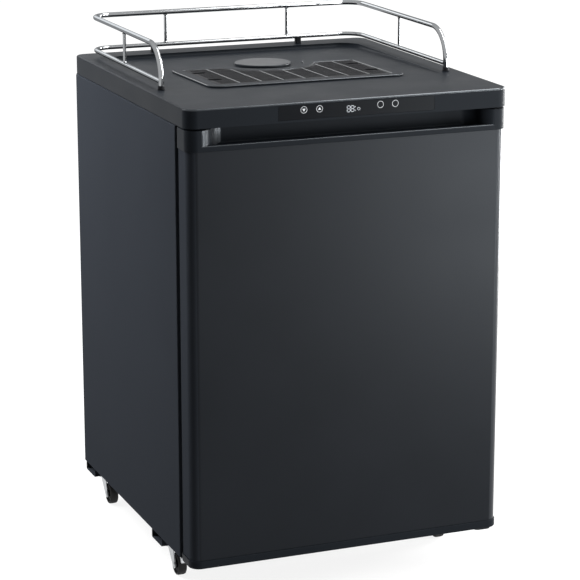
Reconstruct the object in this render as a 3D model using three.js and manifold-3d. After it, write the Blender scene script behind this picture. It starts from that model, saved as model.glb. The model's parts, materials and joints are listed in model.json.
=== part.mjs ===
import * as THREE from 'three';
import { mergeVertices } from 'three/addons/utils/BufferGeometryUtils.js';
import Module from 'manifold-3d';

// A free-standing kegerator: a foam-filled steel cabinet on four casters, with a door that opens
// on its right edge, a moulded worktop with a guard rail, a drip tray and a covered tower hole,
// and a machine bay at the lower back. Millimetres, +Z up, front towards -Y, origin on the floor.

const wasm = await Module();
wasm.setup();

// Turns and counts
const quarterTurn = Math.PI / 2;
const halfTurn = Math.PI;
const fullTurn = Math.PI * 2;
const arcSteps = 3;
const fineArcSteps = 4;
const scoopSteps = 7;
const ringSteps = 2;
const edgeSteps = 1;

// Working clearances
const clearance = 0.3;
const overrun = 6;

// Whole object
const worktopWidth = 605;
const overallDepth = 650;
const worktopTop = 900;
const worktopThickness = 34;
const worktopOverhang = 2;
const cabinetBackInset = 6;
const steelSheet = 1.2;

// Worktop moulding
const worktopCornerRadius = 22;
const worktopEdge = 3;
const worktopWall = 4.5;
const worktopPocketDepth = 22;
const dishSideInset = 44.5;
const dishFrontInset = 149;
const dishBackInset = 55;
const dishDepth = 7.5;
const dishCornerRadius = 40;

// Tower hole, its sleeve and its cover disc
const holeInset = 425;
const holeRadius = 36;
const sleeveWall = 2;
const sleeveFlangeRadius = 46;
const coverRadius = 53;
const coverThickness = 5.5;
const coverEdge = 1.5;
const coverSkin = 3;
const spigotWall = 2;
const spigotDepth = 12;
const spigotPlay = 2;
const coverSides = 32;

// Drip tray and its slotted grille, measured on the sloping floor of the dish
const trayHalfWidth = 190;
const trayFrontReach = 240;
const trayBackReach = 10;
const trayCornerRadius = 25;
const trayNotchRadius = 76;
const trayBar = 21;
const trayRimHeight = 3.5;
const trayEdge = 1;
const trayLedge = 3;
const trayLedgeHeight = 0.8;
const trayPanDepth = 16;
const trayFloor = 2;
const trayPlay = 1;
const grillePlay = 0.6;
const grilleBarHeight = 2.2;
const grilleRibRise = 0.5;
const grilleBorder = 7;
const grilleRibCount = 7;
const grilleRibPitch = 42;
const grilleRibWidth = 2.5;
const grilleSlotPitch = 12.5;
const grilleSlotWidth = 7;
const fingerSlotLength = 25;
const fingerSlotWidth = 16;
const fingerSlotReaches = [75, 160];

// Guard rail
const railSideInset = 26.5;
const railBackInset = 30;
const railPostInset = 205;
const railTopHeight = 76.5;
const railTopRadius = 4.75;
const railPostBend = 58;
const railLowHeight = 14;
const railLowRadius = 4;
const railCornerBend = 36;
const railSides = 10;
const bendSteps = 5;
const spindleRadius = 3;
const spindleSides = 10;
const sideSpindleInset = 412;
const backSpindleReach = 126;
const postFootRadius = 6.5;
const postFootHeight = 7;
const postFootFloor = 2;
const backFootReach = 150;
const backFootWidth = 11;
const backFootDepth = 10;

// Control strip in the worktop's front edge
const lensLeft = -136;
const lensRight = 157;
const lensHeight = 25;
const lensDrop = 5;
const lensThickness = 2;
const lensCornerRadius = 1.5;
const lensSetback = 0.2;
const lensLedge = 3;
const lensTopLedge = 0.8;
const controlBayDepth = 30;
const buttonDrop = 13.7;
const buttonRadius = 6.4;
const buttonFlange = 1;
const buttonFlangeHeight = 1;
const buttonStemRadius = 3;
const buttonStemLength = 6.2;
const buttonSides = 16;
const buttonPlaces = { button_cooler: -89, button_warmer: -60, button_units: 54, button_chill: 82 };
const boardSetback = 12;
const boardThickness = 1.6;
const boardHeight = 18;
const displayCentre = -5.5;
const displayWidth = 28;
const displayHeight = 15;

// Door
const doorGap = 3;
const doorBottom = 77;
const doorDepth = 60;
const gasketGap = 4;
const doorFrontRadius = 20;
const doorBackRadius = 10;
const doorSkinInset = 2;
const doorSkinReturn = 12;
const topCapHeight = 37;
const bottomCapHeight = 15;
const capEdge = 1.2;
const capWall = 2.5;
const scoopEndInset = 23.5;
const scoopRun = 52;
const scoopHandle = 32;
const scoopDepth = 36;
const scoopLipHeight = 10;
const scoopLipThickness = 8;
const scoopPocketDrop = 5;
const scoopFillet = 7;
const hingeSideInset = 20;
const hingeFrontInset = 24;
const hingePinRadius = 4;
const hingePlay = 0.3;
const hingeBossRadius = 8;
const topPinLength = 20;
const bottomPinLength = 13;
const hingeBlind = 2;
const hingePlate = 3;
const hingePlateWidth = 34;
const hingePlateReach = 12;
const hingePlateSeat = 46;
const hingeJoggle = 6;
const pinHeadRadius = 6;
const pinHeadHeight = 3;
const pinSides = 12;
const doorLinerSheet = 1.5;
const doorLinerMargin = 4;
const dykeInset = 58;
const dykeWidth = 26;
const dykeHeight = 12;
const dykeWall = 2;
const dykeRadius = 20;
const gasketInset = 16.5;
const gasketWidth = 14;
const gasketCornerRadius = 8;
const gasketEdge = 1;

// Cabinet shell, inner liner and machine bay
const shellFrontFlange = 22;
const shellCornerRadius = 6;
const roofHolePlay = 16;
const linerWall = 2;
const cavityWall = 40;
const cavityBottom = 122;
const cavityTop = 827;
const cavityBackInset = 50;
const stepFrontInset = 165;
const stepTop = 315;
const cavityRadius = 12;
const bayFrontInset = 140;
const bayCeiling = 285;
const backPlateMargin = 1;
const gasPlugSideInset = 67;
const gasPlugHeight = 420;
const gasPlugRadius = 11;
const gasPlugHead = 16;
const gasPlugHeadHeight = 2;
const plugSides = 12;

// Base with its two caster channels
const channelDepth = 18;
const channelWidth = 58;
const channelWall = 2;
const baseSheet = 1.5;
const casterHeight = 61.7;

// Casters
const casterSideInset = 38.5;
const frontCasterInset = 198;
const rearCasterBackInset = 39;
const casterTrail = 18;
const wheelRadius = 21;
const wheelHalfWidth = 8;
const wheelTreadEdge = 1.5;
const wheelRimDepth = 4.5;
const wheelWebHalf = 4.5;
const wheelHubRadius = 7;
const wheelHubHalf = 8.6;
const wheelSides = 18;
const axleRadius = 3;
const axlePlay = 0.3;
const axleHeadRadius = 5.5;
const axleHeadHeight = 1.5;
const forkSheet = 2;
const forkGap = 9.2;
const forkCrownHalf = 14;
const forkShoulder = 9;
const forkEndRadius = 8;
const forkCrownDrop = 6.5;
const kingpinRadius = 4;
const kingpinHeadRadius = 7;
const kingpinHeadHeight = 2;
const plateSize = 52;
const plateSheet = 2.4;
const plateCornerRadius = 6;
const racewayRadius = 18;
const racewayTaper = 4;
const racewaySides = 14;
const forkLeanShare = 0.35;

// Brake pedals of the front casters
const pedalPivotForward = 12;
const pedalPivotHeight = 46.8;
const pedalPinRadius = 2;
const pedalBarrelRadius = 3.6;
const pedalPlay = 0.3;
const pedalHalfWidth = 7.5;
const pedalReach = 39;
const pedalDrop = 17;
const pedalSheet = 2;
const pedalToe = 8;

// Keg floor plate
const kegPlateSideGap = 32;
const kegPlateFrontGap = 12;
const kegPlateBackGap = 8;
const kegPlateSheet = 2;
const kegPlateRadius = 24;
const kegRingMargin = 20.5;
const kegRingWidth = 10;
const kegRingHeight = 3;
const kegRingSides = 28;

// Evaporator, its cover and the circulation fan
const coolerHalfWidth = 150;
const coolerBottom = 545;
const coolerTop = 790;
const coolerDepth = 42;
const coolerWall = 2;
const coolerRadius = 14;
const coolerEdge = 3;
const louvreCount = 5;
const louvrePitch = 14;
const louvreHeight = 5;
const louvreHalfWidth = 100;
const louvreRise = 22;
const fanTopInset = 75;
const fanOpeningRadius = 45;
const fanRingSides = 24;
const guardBarWidth = 4;
const guardBarCount = 3;
const fanTipRadius = 41;
const fanHubRadius = 13;
const fanHubDepth = 10;
const bladeCount = 5;
const bladeSheet = 1.6;
const bladeRootShare = 0.8;
const bladeHalfChord = 12;
const bladePitch = 0.6;
const fanSetback = 4;
const motorRadius = 19;
const motorGap = 3;
const motorShaftRadius = 2;
const shaftPlay = 0.3;
const shaftShortfall = 2;
const evaporatorSheet = 1.6;
const evaporatorMargin = 12;
const evaporatorCornerRadius = 10;
const evaporatorFoot = 3;
const evaporatorFootRadius = 5;

// Machine bay contents
const compressorCentreX = -60;
const compressorRadius = 53;
const compressorStretchShare = 1.32;
const compressorFootGap = 7;
const compressorPlate = 2.5;
const compressorPlateHalfWidth = 92;
const compressorPlateHalfDepth = 48;
const compressorHeight = 150;
const compressorSeamShare = 0.5;
const compressorSeamRise = 3;
const compressorSeamHeight = 5;
const compressorFlatShare = 0.42;
const compressorShoulderShare = 0.16;
const compressorSides = 20;
const footRadius = 9;
const footInset = 14;
const footSides = 8;
const relayWidth = 38;
const relayDepth = 46;
const relayHeight = 44;
const relayRise = 84;
const relayEdge = 2;
const glandRadius = 7;
const glandBore = 4;
const glandLength = 12;
const panHalfWidth = 76;
const panHalfDepth = 54;
const panHeight = 24;
const panWall = 2;
const panRadius = 12;
const pipeRadius = 3;
const pipeSides = 8;
const pipeBend = 16;
const pipeBendSteps = 4;
const dischargeRise = 118;
const dischargeReach = 34;
const suctionRise = 52;
const suctionReach = 60;

// Places worked out from the sizes above
const frontY = -overallDepth / 2;
const backY = overallDepth / 2;
const worktopHalf = worktopWidth / 2;
const dishHalfWidth = worktopHalf - dishSideInset;
const railHalfWidth = worktopHalf - railSideInset;
const worktopBottom = worktopTop - worktopThickness;
const cabinetHalf = worktopHalf - worktopOverhang;
const cavityHalfWidth = cabinetHalf - cavityWall;
const casterReach = cabinetHalf - casterSideInset;
const gasPlugReach = cavityHalfWidth - gasPlugSideInset;
const fanHeight = coolerTop - fanTopInset;
const frontCasterY = frontY + frontCasterInset;
const rearCasterY = backY - rearCasterBackInset;
const cabinetFrontY = frontY + doorDepth + gasketGap;
const cabinetBackY = backY - cabinetBackInset;
const shellTop = worktopBottom - clearance;
const baseBottom = casterHeight + clearance + channelDepth;
const baseTop = baseBottom + baseSheet;
const shellInnerHalf = cabinetHalf - steelSheet - clearance;
const doorTop = worktopBottom - doorGap;
const doorBackY = frontY + doorDepth;
const doorHalf = cabinetHalf;
const doorSkinHalf = doorHalf - doorSkinInset;
const scoopHalfLength = doorHalf - scoopEndInset;
const skinBottom = doorBottom + bottomCapHeight + clearance;
const skinTop = doorTop - topCapHeight - clearance;
const hingeX = doorHalf - hingeSideInset;
const hingeY = frontY + hingeFrontInset;
const dishFrontY = frontY + dishFrontInset;
const dishBackY = backY - dishBackInset;
const dishSlope = Math.atan2(dishDepth, dishBackY - dishFrontY);
const holeY = frontY + holeInset;
const holeFloor = worktopTop - Math.tan(dishSlope) * (holeY - dishFrontY);
const pocketCeiling = worktopBottom + worktopPocketDepth;
const cavityBackY = backY - cavityBackInset;
const stepFrontY = backY - stepFrontInset;
const bayFrontY = backY - bayFrontInset;
const buttonZ = worktopTop - buttonDrop;
const lensTop = worktopTop - lensDrop;
const lensBottom = lensTop - lensHeight;
const lensBackY = frontY + lensSetback + lensThickness;
const boardFrontY = frontY + boardSetback;

// Finishes, from the photograph where it shows them
const blackMoulding = finish(0x4b4e53, 0.42, 0);
const blackPaint = finish(0x2c2e31, 0.38, 0.1);
const chromeTube = finish(0xd9dadb, 0.12, 1);
const glossBlack = finish(0x131416, 0.12, 0);
const darkPlastic = finish(0x1b1c1e, 0.6, 0);
const whiteLiner = finish(0xe9eaea, 0.45, 0);
const foam = finish(0xe0cf8f, 0.95, 0);
const zinc = finish(0xaeb0b2, 0.4, 0.9);
const rubberBlack = finish(0x101011, 0.85, 0);
const boardGreen = finish(0x1f5a34, 0.6, 0);
const compressorBlack = finish(0x151617, 0.5, 0.3);
const copper = finish(0xb87350, 0.35, 0.9);
const alloy = finish(0xbfc2c4, 0.45, 0.9);

function finish(color, roughness, metalness) {
  return new THREE.MeshStandardMaterial({ color, roughness, metalness });
}

// Solids: a closed three.js geometry becomes a solid that can be joined and cut

function closed(geometry) {
  const bare = geometry.clone();
  bare.deleteAttribute('normal');
  bare.deleteAttribute('uv');
  const merged = mergeVertices(bare);
  const corners = merged.index.array;
  const spots = merged.attributes.position.array;
  const kept = [];
  let volume = 0;
  for (let i = 0; i < corners.length; i += 3) {
    const [a, b, c] = [corners[i], corners[i + 1], corners[i + 2]];
    if (a === b || b === c || c === a) continue;
    kept.push(a, b, c);
    const first = new THREE.Vector3().fromArray(spots, a * 3);
    const second = new THREE.Vector3().fromArray(spots, b * 3);
    const third = new THREE.Vector3().fromArray(spots, c * 3);
    volume += first.dot(second.cross(third));
  }
  if (volume < 0) kept.reverse();
  merged.setIndex(kept);
  return merged;
}

function solidOf(geometry) {
  const whole = closed(geometry);
  const mesh = new wasm.Mesh({
    numProp: 3,
    vertProperties: new Float32Array(whole.attributes.position.array),
    triVerts: new Uint32Array(whole.index.array),
  });
  return new wasm.Manifold(mesh);
}

function geometryOf(solid) {
  const mesh = solid.getMesh();
  const geometry = new THREE.BufferGeometry();
  geometry.setAttribute('position', new THREE.BufferAttribute(mesh.vertProperties, 3));
  geometry.setIndex(new THREE.BufferAttribute(mesh.triVerts, 1));
  return geometry;
}

function joined(first, ...others) {
  return others.reduce((whole, other) => whole.add(other), first);
}

function cutBy(first, ...others) {
  return others.reduce((whole, other) => whole.subtract(other), first);
}

function moved(solid, matrix) {
  return solidOf(geometryOf(solid).applyMatrix4(matrix));
}

function block(left, right, front, back, low, high) {
  const geometry = new THREE.BoxGeometry(right - left, back - front, high - low);
  geometry.translate((left + right) / 2, (front + back) / 2, (low + high) / 2);
  return solidOf(geometry);
}

function rodAlongZ(x, y, low, high, radius, sides) {
  const geometry = new THREE.CylinderGeometry(radius, radius, high - low, sides);
  geometry.rotateX(quarterTurn);
  geometry.translate(x, y, (low + high) / 2);
  return solidOf(geometry);
}

function rodAlongY(x, z, front, back, radius, sides) {
  const geometry = new THREE.CylinderGeometry(radius, radius, back - front, sides);
  geometry.translate(x, (front + back) / 2, z);
  return solidOf(geometry);
}

function rodAlongX(y, z, left, right, radius, sides) {
  const geometry = new THREE.CylinderGeometry(radius, radius, right - left, sides);
  geometry.rotateZ(quarterTurn);
  geometry.translate((left + right) / 2, y, z);
  return solidOf(geometry);
}

// A profile of [radius, height] pairs turned about the vertical axis
function turned(profile, sides) {
  const points = profile.map(([radius, height]) => new THREE.Vector2(radius, height));
  const geometry = new THREE.LatheGeometry(points, sides);
  geometry.rotateX(quarterTurn);
  return solidOf(geometry);
}

// The same about the axis that runs from front to back
function turnedAlongY(profile, sides) {
  const points = profile.map(([radius, depth]) => new THREE.Vector2(radius, depth));
  return solidOf(new THREE.LatheGeometry(points, sides));
}

function extruded(shape, depth, steps) {
  return new THREE.ExtrudeGeometry(shape, { depth, bevelEnabled: false, curveSegments: steps });
}

function prismAlongZ(shape, low, high, steps = arcSteps) {
  const geometry = extruded(shape, high - low, steps);
  geometry.translate(0, 0, low);
  return solidOf(geometry);
}

// The shape's x and y lie along Y and Z here
function prismAlongX(shape, left, right, steps = arcSteps) {
  const geometry = extruded(shape, right - left, steps);
  const along = new THREE.Vector3(1, 0, 0);
  const across = new THREE.Vector3(0, 1, 0);
  const up = new THREE.Vector3(0, 0, 1);
  geometry.applyMatrix4(new THREE.Matrix4().makeBasis(across, up, along));
  geometry.translate(left, 0, 0);
  return solidOf(geometry);
}

// The shape's x and y lie along X and Z here
function prismAlongY(shape, front, back, steps = arcSteps) {
  const geometry = extruded(shape, back - front, steps);
  geometry.rotateX(quarterTurn);
  geometry.translate(0, back, 0);
  return solidOf(geometry);
}

// A prism whose top and bottom edges are rounded over
function softPrism(shape, low, high, edge, steps = arcSteps) {
  const geometry = new THREE.ExtrudeGeometry(shape, {
    depth: high - low - 2 * edge,
    bevelThickness: edge,
    bevelSize: edge,
    bevelOffset: -edge,
    bevelSegments: edgeSteps,
    curveSegments: steps,
  });
  geometry.translate(0, 0, low + edge);
  return solidOf(geometry);
}

function roundedRectangle(left, right, low, high, lowRadius, highRadius = lowRadius) {
  const shape = new THREE.Shape();
  const corner = (x, y, radius, start) => {
    if (radius > 0) shape.absarc(x, y, radius, start, start + quarterTurn);
    else shape.lineTo(x, y);
  };
  shape.moveTo(left + lowRadius, low);
  corner(right - lowRadius, low + lowRadius, lowRadius, -quarterTurn);
  corner(right - highRadius, high - highRadius, highRadius, 0);
  corner(left + highRadius, high - highRadius, highRadius, quarterTurn);
  corner(left + lowRadius, low + lowRadius, lowRadius, halfTurn);
  return shape;
}

// A bent tube's centre line: straight runs with an arc at each corner
class BentPath extends THREE.Curve {
  constructor(corners, radii, steps) {
    super();
    this.stations = [corners[0]];
    for (let i = 1; i < corners.length - 1; i += 1) {
      this.addArc(corners[i - 1], corners[i], corners[i + 1], radii[i - 1], steps);
    }
    this.stations.push(corners[corners.length - 1]);
  }

  addArc(before, corner, after, radius, steps) {
    const back = before.clone().sub(corner).normalize();
    const ahead = after.clone().sub(corner).normalize();
    const half = back.angleTo(ahead) / 2;
    const start = corner.clone().addScaledVector(back, radius / Math.tan(half));
    const inward = back.clone().add(ahead).normalize();
    const centre = corner.clone().addScaledVector(inward, radius / Math.sin(half));
    const spoke = start.clone().sub(centre);
    const sweep = halfTurn - 2 * half;
    for (let i = 0; i <= steps; i += 1) {
      const angle = sweep * i / steps;
      const station = centre.clone().addScaledVector(spoke, Math.cos(angle));
      this.stations.push(station.addScaledVector(back, -radius * Math.sin(angle)));
    }
  }

  get runs() {
    return this.stations.length - 1;
  }

  getUtoTmapping(share) {
    return share;
  }

  getPoint(share, target = new THREE.Vector3()) {
    const place = share * this.runs;
    const run = Math.min(Math.floor(place), this.runs - 1);
    return target.lerpVectors(this.stations[run], this.stations[run + 1], place - run);
  }

  getTangent(share, target = new THREE.Vector3()) {
    const station = Math.round(share * this.runs);
    const before = this.direction(Math.max(station - 1, 0));
    const after = this.direction(Math.min(station, this.runs - 1));
    return target.copy(before).add(after).normalize();
  }

  direction(run) {
    return this.stations[run + 1].clone().sub(this.stations[run]).normalize();
  }
}

function tube(corners, radii, radius, sides, steps) {
  const path = new BentPath(corners, radii, steps);
  const ring = new THREE.Shape();
  for (let i = 0; i < sides; i += 1) {
    const angle = fullTurn * i / sides;
    const spot = [radius * Math.cos(angle), radius * Math.sin(angle)];
    if (i === 0) ring.moveTo(...spot);
    else ring.lineTo(...spot);
  }
  const geometry = new THREE.ExtrudeGeometry(ring, {
    steps: path.runs,
    extrudePath: path,
    bevelEnabled: false,
  });
  return solidOf(geometry);
}

const kegerator = new THREE.Group();

// The sloping floor of the worktop's dish: its origin is on the tower hole's axis
const deck = new THREE.Group();
deck.position.set(0, holeY, holeFloor);
deck.rotation.x = -dishSlope;
deck.updateMatrixWorld();
kegerator.add(deck);

function addPiece(name, solid, material, parent = kegerator) {
  const mesh = new THREE.Mesh(geometryOf(solid), material);
  mesh.name = name;
  parent.add(mesh);
  return mesh;
}

function onDeck(solid) {
  return moved(solid, deck.matrixWorld);
}

// The dish as it is cut: its floor slopes down to the back and runs out at the front
function dishCutter() {
  const outline = roundedRectangle(
    -dishHalfWidth, dishHalfWidth, dishFrontY - holeY - overrun, dishBackY - holeY,
    0, dishCornerRadius,
  );
  return onDeck(prismAlongZ(outline, 0, dishDepth + overrun, fineArcSteps));
}

// The tray's outline, drawn in by the inset all round, with the notch that goes round the cover
function trayOutline(inset, low, high) {
  const radius = Math.max(trayCornerRadius - inset, trayLedge);
  const outline = roundedRectangle(
    -trayHalfWidth + inset, trayHalfWidth - inset,
    -trayFrontReach + inset, -trayBackReach - inset, radius,
  );
  const notch = rodAlongZ(0, 0, low - overrun, high + overrun, trayNotchRadius + inset, coverSides);
  return cutBy(prismAlongZ(outline, low, high), notch);
}

function worktop() {
  const half = worktopHalf;
  const outline = roundedRectangle(-half, half, frontY, backY, worktopCornerRadius);
  const moulding = softPrism(outline, worktopBottom - overrun, worktopTop, worktopEdge, fineArcSteps);
  const below = block(-worktopWidth, worktopWidth, -overallDepth, overallDepth,
    worktopBottom - 2 * overrun, worktopBottom);
  const hollow = roundedRectangle(
    -half + worktopWall, half - worktopWall, frontY + worktopWall, backY - worktopWall,
    worktopCornerRadius - worktopWall,
  );
  const pocket = prismAlongZ(hollow, worktopBottom - overrun, pocketCeiling);
  const hole = rodAlongZ(0, holeY, worktopBottom, worktopTop + overrun, holeRadius, coverSides);
  const trayHole = onDeck(trayOutline(trayBar - trayPlay - trayLedge / 2, -worktopThickness, dishDepth));
  const lensFrame = roundedRectangle(
    lensLeft - clearance, lensRight + clearance, lensBottom - clearance, lensTop + clearance,
    lensCornerRadius,
  );
  const lensSeat = prismAlongY(lensFrame, frontY - overrun, lensBackY + clearance);
  const window = block(lensLeft + lensLedge, lensRight - lensLedge, frontY, frontY + controlBayDepth,
    lensBottom + lensLedge, lensTop - lensTopLedge);
  return cutBy(moulding, below, pocket, dishCutter(), hole, trayHole, lensSeat, window);
}

function towerHoleCover() {
  const top = clearance + coverThickness;
  const spigotOuter = holeRadius - spigotPlay;
  return turned([
    [0, top - coverSkin],
    [spigotOuter - spigotWall, top - coverSkin],
    [spigotOuter - spigotWall, -spigotDepth],
    [spigotOuter, -spigotDepth],
    [spigotOuter, clearance],
    [coverRadius, clearance],
    [coverRadius, top - coverEdge],
    [coverRadius - coverEdge, top],
    [0, top],
  ], coverSides);
}

// The sleeve lines the tower hole from the liner's ceiling up to the worktop
function towerHoleSleeve() {
  const flangeTop = cavityTop - clearance;
  const flangeBottom = flangeTop - sleeveWall;
  const sleeveTop = pocketCeiling - clearance;
  const outer = holeRadius + sleeveWall;
  const sleeve = turned([
    [holeRadius, flangeBottom],
    [sleeveFlangeRadius, flangeBottom],
    [sleeveFlangeRadius, flangeTop],
    [outer, flangeTop],
    [outer, sleeveTop],
    [holeRadius, sleeveTop],
    [holeRadius, flangeBottom],
  ], coverSides);
  return moved(sleeve, new THREE.Matrix4().makeTranslation(0, holeY, 0));
}

function dripTray() {
  const rimTop = clearance + trayRimHeight;
  const rim = trayOutline(0, clearance, rimTop - trayEdge);
  const rimCrown = trayOutline(trayEdge, rimTop - trayEdge - clearance, rimTop);
  const pan = trayOutline(trayBar - trayLedge / 2, -trayPanDepth, trayLedgeHeight);
  const seat = trayOutline(trayBar, trayLedgeHeight, rimTop + overrun);
  const hollow = trayOutline(trayBar + trayLedge, trayFloor - trayPanDepth, rimTop + overrun);
  return cutBy(joined(rim, rimCrown, pan), seat, hollow);
}

// Slots run left and right between the standing ribs, and clear the two lifting slots at each end
function grilleSlots(low, high) {
  const field = trayOutline(trayBar + grillePlay + grilleBorder, low - overrun, high + overrun);
  const bays = grilleRibCount + 1;
  const fieldHalf = trayHalfWidth - trayBar - grillePlay - grilleBorder;
  const rows = Math.floor((trayFrontReach - trayBackReach - 2 * trayBar) / grilleSlotPitch);
  const firstRow = -trayFrontReach + trayBar + grillePlay + grilleBorder + grilleSlotWidth / 2;
  const cutters = [];
  for (let bay = 0; bay < bays; bay += 1) {
    const centre = (bay - (bays - 1) / 2) * grilleRibPitch;
    const left = Math.max(centre - grilleRibPitch / 2 + grilleRibWidth / 2, -fieldHalf);
    const right = Math.min(centre + grilleRibPitch / 2 - grilleRibWidth / 2, fieldHalf);
    const isEnd = bay === 0 || bay === bays - 1;
    for (let row = 0; row < rows; row += 1) {
      const middle = firstRow + row * grilleSlotPitch;
      const meetsFinger = fingerSlotReaches.some(
        (reach) => Math.abs(middle + reach) < (grilleSlotWidth + fingerSlotWidth) / 2 + grilleRibWidth,
      );
      if (isEnd && meetsFinger) continue;
      const front = middle - grilleSlotWidth / 2;
      cutters.push(block(left, right, front, front + grilleSlotWidth, low - overrun, high + overrun));
    }
  }
  return joined(...cutters).intersect(field);
}

function fingerSlots(low, high) {
  const edge = trayHalfWidth - trayBar - grillePlay - grilleRibWidth;
  const cutters = [];
  for (const reach of fingerSlotReaches) {
    const front = -reach - fingerSlotWidth / 2;
    const back = front + fingerSlotWidth;
    const inner = edge - fingerSlotLength;
    cutters.push(block(inner, edge, front, back, low - overrun, high + overrun));
    cutters.push(block(-edge, -inner, front, back, low - overrun, high + overrun));
  }
  return joined(...cutters);
}

function dripGrille() {
  const low = trayLedgeHeight + clearance;
  const high = low + grilleBarHeight;
  const plate = trayOutline(trayBar + grillePlay, low, high);
  const ribField = trayOutline(trayBar + grillePlay + grilleRibWidth, low, high + grilleRibRise);
  const ribs = [];
  for (let i = 0; i < grilleRibCount; i += 1) {
    const x = (i - (grilleRibCount - 1) / 2) * grilleRibPitch;
    const half = grilleRibWidth / 2;
    ribs.push(block(x - half, x + half, -trayFrontReach, 0, low, high + grilleRibRise));
  }
  const slotted = cutBy(plate, grilleSlots(low, high), fingerSlots(low, high));
  return slotted.add(joined(...ribs).intersect(ribField));
}

function point(x, y, z) {
  return new THREE.Vector3(x, y, z);
}

function guardRailTop() {
  const top = worktopTop + railTopHeight;
  const foot = worktopTop + clearance + postFootFloor + clearance;
  const post = frontY + railPostInset;
  const back = backY - railBackInset;
  const corners = [
    point(-railHalfWidth, post, foot), point(-railHalfWidth, post, top),
    point(-railHalfWidth, back, top), point(railHalfWidth, back, top),
    point(railHalfWidth, post, top), point(railHalfWidth, post, foot),
  ];
  const radii = [railPostBend, railCornerBend, railCornerBend, railPostBend];
  return tube(corners, radii, railTopRadius, railSides, bendSteps);
}

function guardRailBottom() {
  const height = worktopTop + railLowHeight;
  const front = frontY + railPostInset + railTopRadius + clearance;
  const back = backY - railBackInset;
  const corners = [
    point(-railHalfWidth, front, height), point(-railHalfWidth, back, height),
    point(railHalfWidth, back, height), point(railHalfWidth, front, height),
  ];
  return tube(corners, [railCornerBend, railCornerBend], railLowRadius, railSides, bendSteps);
}

function railSpindle(x, y) {
  const low = worktopTop + railLowHeight + railLowRadius + clearance;
  const high = worktopTop + railTopHeight - railTopRadius - clearance;
  return rodAlongZ(x, y, low, high, spindleRadius, spindleSides);
}

function postFoot(x) {
  const y = frontY + railPostInset;
  const low = worktopTop + clearance;
  const collar = rodAlongZ(x, y, low, low + postFootHeight, postFootRadius, pinSides);
  const socket = rodAlongZ(x, y, low + postFootFloor, low + postFootHeight + overrun,
    railTopRadius + clearance, pinSides);
  return cutBy(collar, socket);
}

function backFoot(x) {
  const y = backY - railBackInset;
  const low = worktopTop + clearance;
  const high = worktopTop + railLowHeight;
  const half = backFootWidth / 2;
  const body = block(x - half, x + half, y - backFootDepth / 2, y + backFootDepth / 2, low, high);
  const saddle = rodAlongX(y, high, x - backFootWidth, x + backFootWidth, railLowRadius + clearance, pinSides);
  return cutBy(body, saddle);
}

function controlLens() {
  const outline = roundedRectangle(lensLeft, lensRight, lensBottom, lensTop, lensCornerRadius);
  const strip = prismAlongY(outline, frontY + lensSetback, lensBackY);
  const holes = Object.values(buttonPlaces).map((x) => rodAlongY(
    x, buttonZ, frontY - overrun, lensBackY + overrun, buttonRadius + clearance, buttonSides,
  ));
  return cutBy(strip, ...holes);
}

// A button's flange is caught behind the strip, and its stem ends short of the board
function controlButton(x) {
  const flangeFront = lensBackY + clearance;
  const flangeBack = flangeFront + buttonFlangeHeight;
  const button = turnedAlongY([
    [0, frontY + lensSetback],
    [buttonRadius, frontY + lensSetback],
    [buttonRadius, flangeFront],
    [buttonRadius + buttonFlange, flangeFront],
    [buttonRadius + buttonFlange, flangeBack],
    [buttonStemRadius, flangeBack],
    [buttonStemRadius, flangeBack + buttonStemLength],
    [0, flangeBack + buttonStemLength],
  ], buttonSides);
  return moved(button, new THREE.Matrix4().makeTranslation(x, 0, buttonZ));
}

function controlBoard() {
  const left = lensLeft + lensLedge + clearance;
  const right = lensRight - lensLedge - clearance;
  const middle = (lensTop + lensBottom) / 2;
  const card = block(left, right, boardFrontY, boardFrontY + boardThickness,
    middle - boardHeight / 2, middle + boardHeight / 2);
  const display = block(displayCentre - displayWidth / 2, displayCentre + displayWidth / 2,
    lensBackY + clearance, boardFrontY + boardThickness / 2,
    middle - displayHeight / 2, middle + displayHeight / 2);
  return card.add(display);
}

// Plan of the door at a height: the caps are full size and the steel skin is drawn in
function doorPlan(inset) {
  return roundedRectangle(
    -doorHalf + inset, doorHalf - inset, frontY + inset, doorBackY - inset,
    doorFrontRadius - inset, doorBackRadius - inset,
  );
}

// The hand scoop seen from above: an S-curve at each end leads into a straight back wall
function scoopPlan(growth) {
  const end = scoopHalfLength + growth;
  const wall = frontY + scoopDepth + growth;
  const inner = end - scoopRun;
  const shape = new THREE.Shape();
  shape.moveTo(-end, frontY - overrun);
  shape.lineTo(-end, frontY);
  shape.bezierCurveTo(-end + scoopHandle, frontY, -inner - scoopHandle, wall, -inner, wall);
  shape.lineTo(inner, wall);
  shape.bezierCurveTo(inner + scoopHandle, wall, end - scoopHandle, frontY, end, frontY);
  shape.lineTo(end, frontY - overrun);
  return shape;
}

// The hand scoop in section: over the lip, down into the finger pocket and up the back wall
function scoopSection(growth) {
  const lipTop = doorTop - topCapHeight + scoopLipHeight - growth;
  const pocket = lipTop - scoopPocketDrop;
  const lipBack = frontY + scoopLipThickness - growth;
  const wall = frontY + scoopDepth + growth;
  const shape = new THREE.Shape();
  shape.moveTo(frontY - overrun, lipTop);
  shape.lineTo(lipBack, lipTop);
  shape.bezierCurveTo(lipBack + scoopFillet, lipTop, lipBack, pocket, lipBack + 2 * scoopFillet, pocket);
  shape.lineTo(wall - scoopFillet, pocket);
  shape.quadraticCurveTo(wall, pocket, wall, pocket + scoopFillet);
  shape.lineTo(wall, doorTop + overrun);
  shape.lineTo(frontY - overrun, doorTop + overrun);
  return shape;
}

function scoopCutter(growth) {
  const plan = prismAlongZ(scoopPlan(growth), doorBottom, doorTop + overrun, scoopSteps);
  const section = prismAlongX(scoopSection(growth), -doorHalf, doorHalf, fineArcSteps);
  return plan.intersect(section);
}

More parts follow.
